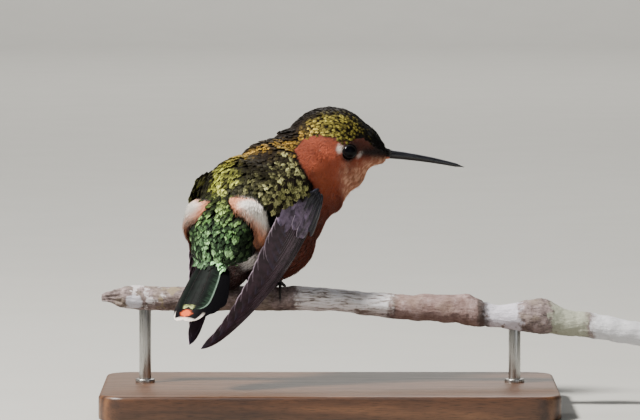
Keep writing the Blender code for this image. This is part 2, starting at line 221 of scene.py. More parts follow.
walnut = finish_of("oiled_walnut", Coat_Weight=0.12, Coat_Roughness=0.35)
grain = speckle(4.0, 5.0, 0.6, (22, 260, 260))
rings = node("TexWave", {
    "Vector": own_place((9, 95, 60)), "Scale": 1.6, "Distortion": 5.0, "Detail": 3.0, "Detail Scale": 1.4,
}, "Fac", wave_type="BANDS", bands_direction="Y")
pores = speckle(6.0, 2.0, stretch=(70, 1500, 1500))
wood = ramp(grain * 0.6 + rings * 0.4, (0.22, paint(58, 36, 24)), (0.5, paint(88, 57, 37)), (0.8, paint(116, 79, 52)))
dress(Base_Color=shaded(wood, ramp(pores, (0.36, 0.45), (0.48, 1.0))), Roughness=ramp(grain, (0.2, 0.5), (0.8, 0.36)))
relief(pores, 0.00004, 0.5)
piece_of("base_slab", bm, walnut, 40, "base_wood", ["stand_base"])

# ---------------------------------------------------------------- rods
# Two short rods of brushed stainless steel, glued into the base and into the twig's underside. A thin
# turned collar covers the glue where each one enters the wood.

ROD_EASE, COLLAR_GROW, COLLAR_HEIGHT, COLLAR_SUNK, COLLAR_EASE = 0.12, 0.7, 0.7, 0.2, 0.18

steel = finish_of("brushed_steel", Metallic=1.0, Anisotropic=0.35)
scratches = speckle(1.0, 2.0, stretch=(9000, 9000, 260))
dress(Base_Color=ramp(scratches, (0.3, paint(150, 149, 146)), (0.7, paint(206, 204, 200))),
      Roughness=ramp(scratches, (0.25, 0.22), (0.75, 0.4)))
relief(scratches, 0.00001, 0.4)


def turned_pin(middle, low, high, radius, eased):
    """A round pin, turned on its axis, with eased rims."""
    bm = bmesh.new()
    place = Matrix.Translation((middle.x, middle.y, (low + high) / 2))
    bmesh.ops.create_cone(bm, cap_ends=True, segments=48, radius1=radius, radius2=radius, depth=high - low,
                          matrix=place)
    bevel(bm, [e for e in bm.edges if abs(e.verts[0].co.z - e.verts[1].co.z) < 1e-4], eased, 3)
    return bm


for side in ("left", "right"):
    low, high = box_of("stand_rod_" + side)
    middle, radius = (low + high) / 2, (high - low).x / 2
    rod = turned_pin(middle, low.z, high.z, radius, ROD_EASE)
    piece_of("rod_" + side, rod, steel, 35, "rod_steel", ["stand_rod_" + side])
    foot, top = base_high.z - COLLAR_SUNK, base_high.z + COLLAR_HEIGHT
    piece_of("collar_" + side, turned_pin(middle, foot, top, radius + COLLAR_GROW, COLLAR_EASE), steel, 35, "rod_steel")

# ---------------------------------------------------------------- twig
# The perch: a short cut length of a dead, weathered twig, grey-brown bark with a burl and a knot, broken
# off at one end and sawn at the other. Pale wood shows where the bark is gone, painted near white on the upper side as
# a painted highlight of the light from above, and lichen crusts it.

FEET = Vector((-12.0, 3.0, 20.0))  # the middle of the grip, on the twig's axis
PERCH_RADIUS = 2.35
# Points on the twig's axis, from the grip: along X, up, and the radius as a share of PERCH_RADIUS.
PERCH_COURSE = (
    (-30.2, 0.2, 0.30), (-28.4, 0.3, 0.55), (-25.4, 0.3, 0.98), (-17.0, 0.0, 1.00), (-5.0, 0.0, 1.00),
    (7.0, 0.1, 1.00), (14.4, -0.3, 0.93), (24.6, -1.4, 1.04), (34.5, -1.8, 1.16), (38.0, -2.3, 1.20),
    (43.0, -3.2, 0.98), (50.7, -3.3, 1.38), (55.0, -4.3, 1.10), (61.0, -5.0, 1.04), (71.0, -6.9, 0.98),
)
PERCH_RINGS, PERCH_SIDES, SPLINTERS, SNAP_RING = 250, 72, 11, 4  # the splinters stand on the snapped ring
BARK_WOBBLE, BARK_GRAIN = 0.15, 0.11  # how deep its broad dents and its fine ridges are


def curve_through(points, count):
    """Points at even steps on a smooth (Catmull-Rom) curve through the given ones."""
    padded = [points[0] * 2 - points[1], *points, points[-1] * 2 - points[-2]]
    spans = len(points) - 1
    found = []
    for k in range(count):
        place = spans * k / (count - 1)
        i = min(int(place), spans - 1)
        t = place - i
        a, b, c, d = padded[i : i + 4]
        found.append(0.5 * (2 * b + (c - a) * t + (2 * a - 5 * b + 4 * c - d) * t**2 + (3 * b - a - 3 * c + d) * t**3))
    return found


def edges_among(points):
    chosen = set(points)
    return list(dict.fromkeys(e for v in points for e in v.link_edges if e.other_vert(v) in chosen))


def new_points(made):
    return [part for part in made["geom"] if isinstance(part, bmesh.types.BMVert)]


def sweep(bm, path, widths, heights, sides, lateral=Vector((0, 1, 0)), half=0):
    """Sweeps a round section along a path, extruding it ring by ring, and closes both ends.

    half 1 keeps the section's upper half, and -1 its lower one. Returns the rings.
    """
    ring = bmesh.ops.create_circle(bm, segments=sides, radius=1.0)["verts"]
    for v in ring:
        if half and v.co.y * half < 0:
            v.co.y = 0.0
    rings, before = [ring], None
    for k, (point, width, height) in enumerate(zip(path, widths, heights)):
        along = (path[min(k + 1, len(path) - 1)] - path[max(k - 1, 0)]).normalized()
        up = along.cross(lateral).normalized()
        lateral = up.cross(along).normalized()
        turn = Matrix((lateral * width, up * height, along)).transposed().to_4x4()
        place = Matrix.Translation(point) @ turn
        if k:
            ring = new_points(bmesh.ops.extrude_edge_only(bm, edges=edges_among(ring)))
            rings.append(ring)
        bmesh.ops.transform(bm, matrix=place @ before if before else place, verts=ring)
        before = place.inverted()
    for end in (rings[0], rings[-1]):
        bmesh.ops.contextual_create(bm, geom=edges_among(end))
    return rings


perch_line = curve_through([FEET + Vector((x, 0, z)) for x, z, _ in PERCH_COURSE], PERCH_RINGS)
perch_radii = [PERCH_RADIUS * t.x for t in curve_through([Vector((r, 0, 0)) for *_, r in PERCH_COURSE], PERCH_RINGS)]


def bell(x, middle, reach, power=2):
    """A smooth hump, 1 at its middle."""
    return np.exp(-(((x - middle) / reach) ** power))


def bark_height(point, spoke):
    """How far the bark stands out at a place on the twig, given the direction out from its axis."""
    def rough(along, across):
        return noise.noise(Vector((point.x * along, point.y * across, point.z * across)))

    x, up = point.x - FEET.x, max(0.0, spoke.z)
    stripped = bell(x, 15, 9) * up  # bare wood, split along its grain
    height = noise.noise(point * 0.45) * BARK_WOBBLE * 1.6 + rough(2.4, 0.9) * BARK_WOBBLE * 0.45
    height += rough(0.55, 3.2) * BARK_GRAIN * (1 - 0.5 * stripped) + noise.noise(point * 6.0) * 0.028
    height -= abs(noise.noise(Vector((x * 0.25, point.y * 4.0, point.z * 4.0)))) * 0.16 * stripped
    height += 0.30 * bell(x, 51.5, 2.2) * up**2 * (1 + noise.noise(point * 1.6))  # a knot
    height += 0.35 * bell(x, 37.2, 1.1) * up**3  # a dead bud
    for place, reach, depth in ((24.4, 0.5, 0.13), (40.6, 0.35, 0.14), (57.6, 0.4, 0.10)):  # rings round it
        height -= depth * bell(x, place, reach)
    return height


bm = bmesh.new()
rings = sweep(bm, perch_line, perch_radii, perch_radii, PERCH_SIDES)
for ring, middle, radius in zip(rings, perch_line, perch_radii):
    inset = 1 - 0.16 / radius
    for v in ring:
        spoke = (v.co - middle).normalized()
        snag = 1.0 if middle.x - FEET.x > -26.5 else 0.9 + 0.5 * noise.noise(spoke * 2.3 + Vector((0, 0, 7)))
        v.co = middle + (v.co - middle) * inset * snag + spoke * bark_height(v.co, spoke)
snapped = [v.co.copy() for v in rings[SNAP_RING]]
rng = np.random.default_rng(5)
for k in range(SPLINTERS):
    root = snapped[k * PERCH_SIDES // SPLINTERS].lerp(perch_line[SNAP_RING], 0.25 + 0.4 * rng.random())
    reach = 0.8 + 1.6 * rng.random()
    aim = Vector((-1, 0.25 * (rng.random() - 0.5), 0.25 * (rng.random() - 0.5)))
    line = [root + aim * reach * s for s in (-0.5, 0.0, 0.5, 0.85, 1.0)]
    thick = [0.24, 0.22, 0.16, 0.08, 0.02]
    sweep(bm, [Vector((max(p.x, perch_line[0].x), p.y, p.z)) for p in line], thick, [0.6 * t for t in thick], 6)


def parts_of(vector):
    """A vector's x, y and z."""
    split = node("SeparateXYZ", {"Vector": vector}).socket.node
    return [Wire(output) for output in split.outputs]


def cells(scale, stretch=None, **settings):
    """A pattern of cells: how far each place is from a cell's middle, or from its edge."""
    return node("TexVoronoi", {"Vector": own_place(stretch), "Scale": scale}, "Distance", **settings)


bark = finish_of("weathered_bark", Roughness=0.85)
where = own_place()
along, _, above = parts_of(where)
mottle, fine = speckle(620, 5.0, 0.62), speckle(1.0, 5.0, 0.65, (1100, 3000, 3000))
ground = ramp(mottle, (0.3, paint(76, 63, 60)), (0.46, paint(118, 104, 102)), (0.60, paint(146, 130, 128)),
              (0.72, paint(184, 174, 176)))
ground = mix(ramp(speckle(260), (0.48, 0.0), (0.6, 0.45)), ground, paint(122, 110, 92))
ground = shaded(ground, ramp(fine, (0.34, 0.42), (0.46, 0.95), (0.66, 1.25)))


def stretch_of(from_x, to_x, soft=1.4, ragged=2.4):
    """A mask for one stretch of the twig, in mm along X from the grip, with a ragged edge."""
    x = along - FEET.x * MM + (speckle(900, 4.0) - 0.5) * (ragged * 2 * MM)
    rise, fall = (node("MapRange", {
        "Value": x, "From Min": (edge - soft / 2) * MM, "From Max": (edge + soft / 2) * MM,
        "To Min": low, "To Max": 1 - low,
    }, interpolation_type="SMOOTHSTEP") for edge, low in ((from_x, 0.0), (to_x, 1.0)))
    return rise * fall


# painted highlight: the bare wood is painted near white only on the upper side, where the light falls
lit_side = node("MapRange", {"Value": above + fine * 0.004, "From Min": 0.0178, "From Max": 0.0206})
pale_wood = ramp(speckle(1.0, stretch=(260, 2600, 2600)), (0.36, paint(120, 106, 98)), (0.46, paint(222, 216, 216)),
                 (0.58, paint(250, 248, 252)))
ground = mix(stretch_of(6.0, 23.0) * lit_side * ramp(fine, (0.26, 0.45), (0.40, 1.0)), ground, pale_wood)
ground = mix(stretch_of(24.0, 41.0) * 0.4, ground, paint(150, 116, 108))
for from_x, to_x, share, colour in (  # lichen
    (-27.0, -16.0, 0.25, (196, 190, 192)), (-19.5, -16.0, 0.5, (140, 126, 104)), (40.5, 47.0, 1.0, (206, 202, 212)),
    (53.0, 59.5, 1.6, (164, 166, 148)), (60.5, 73.0, 1.3, (208, 208, 212)),
):
    moved = node("Mapping", {"Vector": where, "Location": (from_x * 0.01, 0, 0)})
    crust = ramp(speckle(330, 3.0, 0.6, where=moved), (0.62 - share * 0.3, 0.0), (0.66 - share * 0.3, 1.0))
    ground = mix(stretch_of(from_x, to_x) * crust, ground, paint(*colour))
blot = node("VectorMath", {0: where, 1: (FEET + Vector((-24.3, -2.3, -0.6))) * MM}, "Value", operation="DISTANCE")
blot = ramp((blot + speckle(1100) * 0.0016) * 200.0, (0.42, 0.9), (0.50, 0.0))
ground = mix(blot, ground, paint(204, 204, 214))
ground = mix(stretch_of(39.4, 41.4, 0.6, 1.0) * 0.75, ground, paint(52, 44, 38))
cracks = ramp(cells(1.0, (600, 1500, 1500)), (0.02, 0.35), (0.16, 1.0))
dress(Base_Color=mix(0.7, ground, shaded(ground, cracks)))
relief(fine + mottle * 0.8, 0.00022, 0.9)
piece_of("twig", bm, bark, 60, "bark", ["perch"])

# ---------------------------------------------------------------- feet
# Each foot has three toes ahead and one behind, thin and dry, covered in plate-like scales and swollen at
# the joints. They curl round the twig, and a short bare shank carries each one down from the feathers.

FOOT_SPREAD, TOE_SPREAD = 2.8, 0.95
TOE_RADIUS, TOE_GAP, TOE_RINGS, TOE_SIDES, TOE_JOINTS = 0.3, 0.12, 34, 14, 3
CLAW_FROM, TOE_TO, CLAW_BEND = 0.70, 0.78, 0.72  # shares of a toe: where its claw starts, its skin ends, it hooks
CLAW_RINGS, SHANK_RINGS = 12, 26
TARSUS_RADIUS, TARSUS_RISE = 0.36, Vector((-0.5, -0.6, 5.0))
# Each toe's side-step from the foot's middle, and how many degrees it wraps round the twig, ahead or behind.
TOES = ((-1, 118), (0, 128), (1, 118), (0, -112))


def ease(low, high, x):
    """0 below low, 1 above high, and smooth between them."""
    x = np.clip((x - low) / (high - low), 0, 1)
    return x * x * (3 - 2 * x)


def toe_course(x, side_step=0, wrap=0, share=0):
    """The middle of a toe that curls round the twig, at a share of its length."""
    xs = [p.x for p in perch_line]
    angle = math.radians(wrap * share)
    hook = 0.25 * math.sin(math.pi * ease(CLAW_BEND, 1.0, share))
    reach = np.interp(x, xs, perch_radii) + TOE_GAP + TOE_RADIUS + hook
    spread = TOE_SPREAD * side_step * ease(0, 1 / 2.4, share)
    rise = np.interp(x, xs, [p.z for p in perch_line]) + reach * math.cos(angle)
    return Vector((x + spread, FEET.y + reach * math.sin(angle), rise))


dry_skin = finish_of("scaly_foot_skin", Roughness=0.5)
plates = ramp(cells(3600.0, feature="DISTANCE_TO_EDGE"), (0.0, 0.0), (0.12, 1.0))
dress(Base_Color=mix(plates, paint(14, 12, 12), mix(speckle(1500), paint(30, 26, 26), paint(52, 44, 42))))
relief(plates, 0.00004, 0.7)
horn_of_claw = finish_of("claw_horn", Roughness=0.28, Coat_Weight=0.3)
dress(Base_Color=mix(speckle(2500), paint(18, 16, 17), paint(44, 38, 36)))

for label, side in (("left", -1), ("right", 1)):
    x = FEET.x + side * FOOT_SPREAD
    sole = toe_course(x)
    toes, claws = bmesh.new(), bmesh.new()
    for side_step, wrap in TOES:
        shares = [k / (TOE_RINGS - 1) * TOE_TO for k in range(TOE_RINGS)]
        knuckles = [1 + 0.13 * math.cos(2 * math.pi * TOE_JOINTS * s / TOE_TO) for s in shares]
        scutes = [1 + 0.05 * (k % 2) for k in range(TOE_RINGS)]
        thick = [TOE_RADIUS * 0.9 * a * b * (1 - 0.25 * s) for a, b, s in zip(knuckles, scutes, shares)]
        thick[-1] *= 0.6
        sweep(toes, [toe_course(x, side_step, wrap, s) for s in shares], thick, thick, TOE_SIDES, Vector((1, 0, 0)))
        shares = [CLAW_FROM + (1 - CLAW_FROM) * k / (CLAW_RINGS - 1) for k in range(CLAW_RINGS)]
        point = [1 - ((s - CLAW_FROM) / (1 - CLAW_FROM)) ** 1.3 for s in shares]
        path = [toe_course(x, side_step, wrap, s) for s in shares]
        sweep(claws, path, [0.13 * p + 0.02 for p in point], [0.21 * p + 0.02 for p in point], 12, Vector((1, 0, 0)))
    pad = bmesh.ops.create_uvsphere(toes, u_segments=20, v_segments=12, radius=1.0)["verts"]
    bmesh.ops.transform(toes, matrix=Matrix.Translation(sole) @ Matrix.Diagonal((0.72, 0.5, 0.4, 1.0)), verts=pad)
    shank = [sole + TARSUS_RISE * k / (SHANK_RINGS - 1) for k in range(SHANK_RINGS)]
    thick = [TARSUS_RADIUS * (1 + 0.05 * (k % 2) + 0.25 * bell(k, 0, 3)) for k in range(SHANK_RINGS)]
    sweep(toes, shank, thick, thick, TOE_SIDES, Vector((1, 0, 0)))
    piece_of("foot_skin_" + label, toes, dry_skin, 50, "bare_skin", ["foot_" + label, "leg_" + label])
    piece_of("claws_" + label, claws, horn_of_claw, 50, "bare_skin")

# ---------------------------------------------------------------- bill
# The bill is thin black horn over bone: a rounded upper half with a soft ridge along it, and a lower half
# that fits against it. Both droop a little to the tip, and a slit of a nostril lies near the root.

BILL_LENGTH, BILL_HIDDEN, BILL_DROOP, BILL_GAP = 14.6, 2.2, 1.1, 0.025
BILL_ROOT_RADIUS, BILL_TIP_RADIUS = 0.95, 0.26
BILL_ROOT, BILL_PITCH, HEAD_HEADING = Vector((22.6, 7.3, 26.4)), -5.5, 84
BILL_RINGS, BILL_SIDES = 46, 40
NOSTRIL_FROM, NOSTRIL_TO = 0.5, 2.4


def turned(heading, pitch):
    """The turn that takes +X to a heading, in degrees to the right of +Y, and to a pitch above the horizon."""
    return Matrix.Rotation(math.radians(90 - heading), 3, "Z") @ Matrix.Rotation(math.radians(-pitch), 3, "Y")


bill_horn = finish_of("bill_horn", Roughness=0.3, Coat_Weight=0.08, Coat_Roughness=0.2)
streaks = speckle(1.0, stretch=(320, 2600, 2600))
dress(Base_Color=ramp(streaks, (0.3, paint(10, 10, 13)), (0.7, paint(27, 27, 33))),
      Roughness=ramp(streaks, (0.3, 0.24), (0.7, 0.42)))
relief(streaks, 0.00002, 0.4)

bill_turn = turned(HEAD_HEADING, BILL_PITCH)
bill_side, bill_ahead = bill_turn @ Vector((0, 1, 0)), bill_turn @ Vector((1, 0, 0))
shares = [k / (BILL_RINGS - 1) for k in range(BILL_RINGS)]
reaches = [share * (BILL_LENGTH + BILL_HIDDEN) - BILL_HIDDEN for share in shares]
drops = [BILL_DROOP * max(0.0, reach / BILL_LENGTH) ** 2 for reach in reaches]
path = [FEET + BILL_ROOT + bill_turn @ Vector((r, 0, 0)) - Vector((0, 0, d)) for r, d in zip(reaches, drops)]
for label, half, slim in (("upper", 1, 0.97), ("lower", -1, 0.88)):
    widths = [(BILL_TIP_RADIUS + (BILL_ROOT_RADIUS - BILL_TIP_RADIUS) * (1 - share) ** 0.8)
              * min(1.0, (1 - share) * 9 + 0.16) * slim for share in shares]
    bm = bmesh.new()
    rings = sweep(bm, path, widths, widths, BILL_SIDES, bill_side, half)
    for ring, middle, width, reach in zip(rings, path, widths, reaches):
        for v in ring:
            if half > 0:
                out = v.co - middle
                height = out.z / width
                slit = 0.16 * bell(height, 0.42, 0.16) * ease(NOSTRIL_FROM - 0.3, NOSTRIL_FROM + 0.2, reach)
                slit *= 1 - ease(NOSTRIL_TO - 0.4, NOSTRIL_TO + 0.4, reach)
                v.co += Vector((0, 0, width * 0.05 * max(0.0, height) ** 6)) - Vector((out.x, out.y, 0)) * slit
            v.co.z += BILL_GAP * width * half
    piece_of("bill_half_" + label, bm, bill_horn, 40, "bill", ["bill_" + label])

# ---------------------------------------------------------------- eyes
# The eyeball is a dark, wet globe whose clear cornea bulges a little. A thin fold of bare dark skin, the
# two lids, rings it, with a short point behind and a longer one in front, where it runs to the gape.

EYE_OPENING, CORNEA_BULGE = 1.17, 0.10  # half the width of the part that shows between the lids
LID_RINGS, LID_SIDES, LID_WIDTH, LID_HEIGHT = 56, 12, 0.13, 0.06


def attribute(name, output="Color"):
    return node("Attribute", {}, output, attribute_name=name)


wet_eye = finish_of("wet_eye", Roughness=0.14, Specular_IOR_Level=0.10)
from_pupil = attribute("from_pupil", "Fac")
iris = mix(speckle(9000, 2.0), paint(10, 8, 9), paint(18, 12, 11))
dress(Base_Color=mix(ramp(from_pupil, (0.34, 0.0), (0.40, 1.0), (0.62, 1.0), (0.70, 0.0)), paint(4, 4, 7), iris))
lid_skin = finish_of("lid_skin", Roughness=0.6, Specular_IOR_Level=0.2)
pimples = cells(7000.0)
dress(Base_Color=ramp(pimples, (0.1, paint(26, 22, 23)), (0.6, paint(12, 10, 11))))
relief(pimples, 0.00003, -0.6)

eyes = []
for label, side in (("left", 1), ("right", -1)):
    low, high = box_of("eye_" + label)
    middle, radius = (low + high) / 2, (high - low).z / 2
    look = turned(HEAD_HEADING, 0) @ Vector((0.10, side, 0.04)).normalized()
    eyes.append((middle, radius))
    bm = bmesh.new()
    bmesh.ops.create_uvsphere(bm, u_segments=48, v_segments=32, radius=radius)
    share_of = bm.verts.layers.float.new("from_pupil")
    for v in bm.verts:
        lean = math.acos(max(-1, min(1, v.co.normalized().z)))
        v[share_of] = min(1.0, lean / (math.pi / 2))
        v.co *= 1 + CORNEA_BULGE / radius * bell(lean, 0, 0.62)
    aim = look.to_track_quat("Z", "Y").to_matrix().to_4x4()
    bmesh.ops.transform(bm, matrix=Matrix.Translation(middle) @ aim, verts=bm.verts)
    piece_of("eyeball_" + label, bm, wet_eye, 0, "eyes", ["eye_" + label])

    ahead = (turned(HEAD_HEADING, -6) @ Vector((1, 0, 0))).normalized()
    ahead = (ahead - look * ahead.dot(look)).normalized()
    above = look.cross(ahead).normalized()
    above = above if above.z > 0 else -above
    path, wide = [], []
    for k in range(LID_RINGS):
        along, across = math.cos(2 * math.pi * k / LID_RINGS), math.sin(2 * math.pi * k / LID_RINGS)
        opening = EYE_OPENING * (1 + 0.05 * along**8 + 0.03 * max(0.0, -along) ** 8) * (1 - 0.035 * abs(across) ** 3)
        flat = ahead * along * opening + above * across * opening * 0.97
        depth = math.sqrt(max(0.01, (radius + 0.03) ** 2 - min(flat.length, radius * 0.93) ** 2))
        path.append(middle + flat + look * depth)
        wide.append(LID_WIDTH * (1 + 0.5 * max(0.0, along) ** 12))
    over_the_ball = (path[1] - path[-1]).cross(path[0] - middle).normalized()
    bm = bmesh.new()
    sweep(bm, path + path[:2], wide + wide[:2], [LID_HEIGHT] * (LID_RINGS + 2), LID_SIDES, over_the_ball)
    piece_of("lids_" + label, bm, lid_skin, 0, "bare_skin")

# ---------------------------------------------------------------- skin
# The real bird's skin is thin and hidden, and only its tint shows between the feathers. One closed skin
# stands for the flesh of the head, neck and trunk. It is melted from their solids, so it has no seam,
# and then drawn in by the depth of the plumage: least on the face, most on the flanks.

SKIN_VOXEL, SKIN_GROW = 0.40, 0.22  # growing closes the thin cuts between the solids before they melt together
THROAT_HOLLOW = 0.62  # how far the skin draws in under the chin, where the throat is slim
TAIL_BED = ((-7.0, -6.6, 7.6), 31, 45, (6.0, 5.6, 4.1))  # the flesh that the tail's root sits in
COAT_DEPTH = ((0, 1, 2, 4, 5, 6, 6.8, 7.4), (0.7, 0.9, 1.1, 1.0, 0.85, 0.62, 0.36, 0.2))  # along the spine

# The bird's middle line from tail root to bill root, in mm from the feet, and its heading at each point:
# degrees to the right of +Y. Every place on the bird is known by how far along this line it lies and by
# its angle round the line, 0 on the back and 180 on the belly, positive on the right.
SPINE = np.array((
    (-10.6, -13.0, 4.6), (-9.5, -11.3, 6.5), (-5.6, -5.4, 12.6), (-2.0, -0.6, 17.8),
    (2.6, 2.8, 21.6), (7.6, 5.2, 24.6), (11.9, 6.4, 27.4), (18.4, 7.0, 26.9), (24.0, 7.4, 26.3),
))
SPINE_HEADING = np.array((31.0, 31.0, 31.0, 37.0, 48.0, 64.0, 80.0, 84.0, 84.0))
SPINE_SOFT = 2.6  # how softly the line's corners are rounded
ROLL = ((1.0, 1.7, 2.2, 3.2, 4.0), (0, -5, -12, -6, 0))  # how the resting back rolls to the left


def unit(vectors):
    return vectors / np.maximum(np.linalg.norm(vectors, axis=1, keepdims=True), 1e-12)


def along_spine(points):
    """Where points lie by the spine: place, angle and distance from it, and which way is ahead and right."""
    fine = np.linspace(0, len(SPINE) - 1, 161)
    steps = np.arange(len(SPINE))

    def spine_at(t):
        return np.stack([np.interp(t, steps, SPINE[:, k]) for k in range(3)], 1)

    points = points - np.array(FEET)
    away = ((points[:, None, :] - spine_at(fine)[None]) ** 2).sum(2)
    near = np.exp(-(away - away.min(1, keepdims=True)) / SPINE_SOFT**2)
    t = (near * fine).sum(1) / near.sum(1)
    ahead = unit(spine_at(t + 0.5) - spine_at(t - 0.5))
    heading = np.radians(np.interp(t, steps, SPINE_HEADING))
    right = np.stack([np.cos(heading), -np.sin(heading), np.zeros(len(t))], 1)
    right = unit(right - ahead * (right * ahead).sum(1, keepdims=True))
    out = points - spine_at(t)
    side, rise = (out * right).sum(1), (out * np.cross(right, ahead)).sum(1)
    angle = np.degrees(np.arctan2(side, rise))
    return {"t": t, "side": side, "rise": rise, "angle": angle, "ahead": ahead, "right": right}


def coat_depth(t):
    return np.interp(t, *COAT_DEPTH)


def melted_flesh():
    """The solids of the flesh, grown until their cuts close and melted into one mesh."""
    bm = bmesh.new()
    for name in ("head", "neck", "trunk"):
        piece = bmesh.new()
        piece.from_mesh(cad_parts[name].data)
        bmesh.ops.remove_doubles(piece, verts=piece.verts, dist=1e-7)
        piece.normal_update()
        for v in piece.verts:
            v.co += v.normal * SKIN_GROW * MM
        spare = mesh_from("flesh", piece)
        bm.from_mesh(spare)
        bpy.data.meshes.remove(spare)
    for middle, radius in eyes:
        place = Matrix.Translation(middle * MM)
        bmesh.ops.create_icosphere(bm, subdivisions=3, radius=radius * 0.94 * MM, matrix=place)
    centre, heading, pitch, radii = TAIL_BED
    place = Matrix.Translation((FEET + Vector(centre)) * MM) @ turned(heading, pitch).to_4x4()
    place = place @ Matrix.Diagonal((*radii, 1.0)) @ Matrix.Scale(MM, 4)
    bmesh.ops.create_icosphere(bm, subdivisions=4, radius=1.0, matrix=place)
    made = placed("skin", mesh_from("skin", bm))
    melt = made.modifiers.new("melt", "REMESH")
    melt.mode, melt.voxel_size = "VOXEL", SKIN_VOXEL * MM
    soften = made.modifiers.new("soften", "SMOOTH")
    soften.factor, soften.iterations = 0.5, 7
    whole = bpy.data.meshes.new_from_object(made.evaluated_get(bpy.context.evaluated_depsgraph_get()))
    bpy.data.objects.remove(made)
    return whole


def read(mesh, collection, what):
    """An attribute of a mesh's points or faces, three numbers to a row."""
    items = getattr(mesh, collection)
    values = np.empty(len(items) * 3, np.int32 if what == "vertices" else float)
    items.foreach_get(what, values)
    return values.reshape(-1, 3)


skin_mesh = melted_flesh()
skin_at, skin_normal = read(skin_mesh, "vertices", "co") / MM, read(skin_mesh, "vertices", "normal")
skin = along_spine(skin_at)
skin_at -= skin_normal * (coat_depth(skin["t"]) + SKIN_GROW)[:, None]
skin_at -= skin_normal * (THROAT_HOLLOW * ease(112, 138, np.abs(skin["angle"])) * bell(skin["t"], 6.6, 0.75))[:, None]
skin_mesh.vertices.foreach_set("co", (skin_at * MM).ravel())
skin_mesh.update()
skin = along_spine(skin_at)
skin["at"], skin["normal"] = skin_at, read(skin_mesh, "vertices", "normal")

# The plumage's colours. Each feather has a ground colour and, where it is painted lit, a spangle: a painted highlight.
SOOT, BROWN_BLACK, DARK_OLIVE = paint(17, 14, 13), paint(27, 21, 16), paint(25, 24, 14)
DARK_GREEN, BLACK_GREEN, LEAF = paint(14, 21, 13), paint(12, 17, 13), paint(146, 186, 88)
GOLD, YELLOW_GREEN, PALE_OLIVE = paint(206, 162, 64), paint(184, 190, 66), paint(232, 230, 158)
EMERALD, MINT, PALE_GOLD = paint(118, 184, 98), paint(182, 246, 172), paint(204, 190, 88)
BRICK, RUST, DEEP_BROWN, SORREL = paint(174, 82, 52), paint(136, 62, 40), paint(60, 31, 25), paint(206, 108, 68)
PEACH, CREAM, WHITE, SMOKE = paint(236, 184, 150), paint(255, 222, 204), paint(255, 248, 240), paint(140, 142, 160)
APRICOT, SHADE_GREY = paint(242, 164, 124), paint(22, 20, 22)

# Where the crown ends at each side of the head: (places, angles). Where the cheek begins behind: (angles, places).
CROWN_EDGE = ((4.17, 4.47, 5.11, 5.50, 5.67, 5.90, 6.06, 6.25, 6.48, 6.63, 6.89, 7.20, 7.45, 8.0),
              (30, 43, 40, 46, 51, 65, 74, 75, 74, 65, 60, 73, 81, 85))
CHEEK_EDGE = ((30, 48, 62, 81, 102, 124, 140, 180), (4.38, 4.48, 4.36, 4.30, 4.36, 4.50, 4.60, 4.66))
BACK_EDGE = ((0.5, 1.3, 1.8, 2.5, 3.5, 4.4), (84, 92, 100, 108, 112, 115))
# The pale flank tuft, between two lines: (angles, places).
TUFT_TOP = ((20, 34, 48, 58, 70, 84, 99, 106), (2.18, 2.30, 2.36, 2.34, 2.26, 2.16, 2.06, 2.0))
TUFT_FOOT = ((20, 26, 37, 60, 74, 102, 106), (2.14, 2.05, 1.80, 1.70, 1.62, 1.62, 1.7))
EYE_PLACE, EAR_SPOT, LORE_SPOT = (6.44, 90), (6.07, 87), (6.77, 98)
HEAD_STEPS, BACK_STEPS = (6.5, 0.105), (8.0, 0.15)  # mm for one step of the spine, and for one degree round it

# The line down the nape and mantle where the gold spangles are painted lit, a painted highlight along the back's ridge:
# (places, angles), and how wide it is in degrees.
GOLD_HIGHLIGHT_LINE, GOLD_HIGHLIGHT_REACH = ((2.2, 2.6, 3.0, 3.8, 4.25, 5.0), (4, -9, -7, -9, 16, 38)), 14
# Painted highlights, where the back's feathers are painted gleaming together, and painted shade spots, where they are
# painted dark between them: (place, angle, reach in mm, strength).
PAINTED_HIGHLIGHTS = (
    (2.71, 16, 1.2, 1.0), (2.84, 37, 0.7, 0.9), (3.61, 48, 0.8, 0.9), (4.02, 60, 0.9, 1.0), (2.88, 55, 1.3, 0.9),
    (3.52, 84, 1.4, 0.9), (3.95, 76, 1.0, 1.0), (2.46, 61, 1.0, 0.7), (2.56, 72, 0.8, 0.7), (2.59, 34, 0.5, 0.6),
    (1.02, -22, 1.7, 1.1), (1.45, 40, 1.5, 1.1), (1.18, 46, 1.2, 1.0), (0.90, 26, 1.6, 1.1), (1.68, -2, 1.3, 0.9),
)
PAINTED_SHADE_SPOTS = ((3.26, 30, 1.7), (4.06, 40, 1.2), (3.26, 53, 0.7), (2.45, 44, 0.9), (3.50, 67, 0.7), (2.20, 22, 0.6),
           (1.30, 72, 1.3), (1.35, -36, 1.1), (1.22, 12, 0.7), (1.75, 22, 0.6), (1.0, 66, 1.0))


def rolled(t, angle):
    """The angle round the body from the bird's own midline, which lies rolled to the left."""
    return angle - np.interp(t, *ROLL)


def away_from(spot, t, angle, steps=HEAD_STEPS):
    """How many mm lie between places on the body and a spot."""
    return np.hypot((t - spot[0]) * steps[0], (angle - spot[1]) * steps[1])


def on_flank(t, angle):
    """The angle and place that a flank tuft's edges are read at: the left one shows nearer the back."""
    own = rolled(t, angle)
    return np.where(own < 0, 16 - own, own), t + 0.2 * (own < 0)


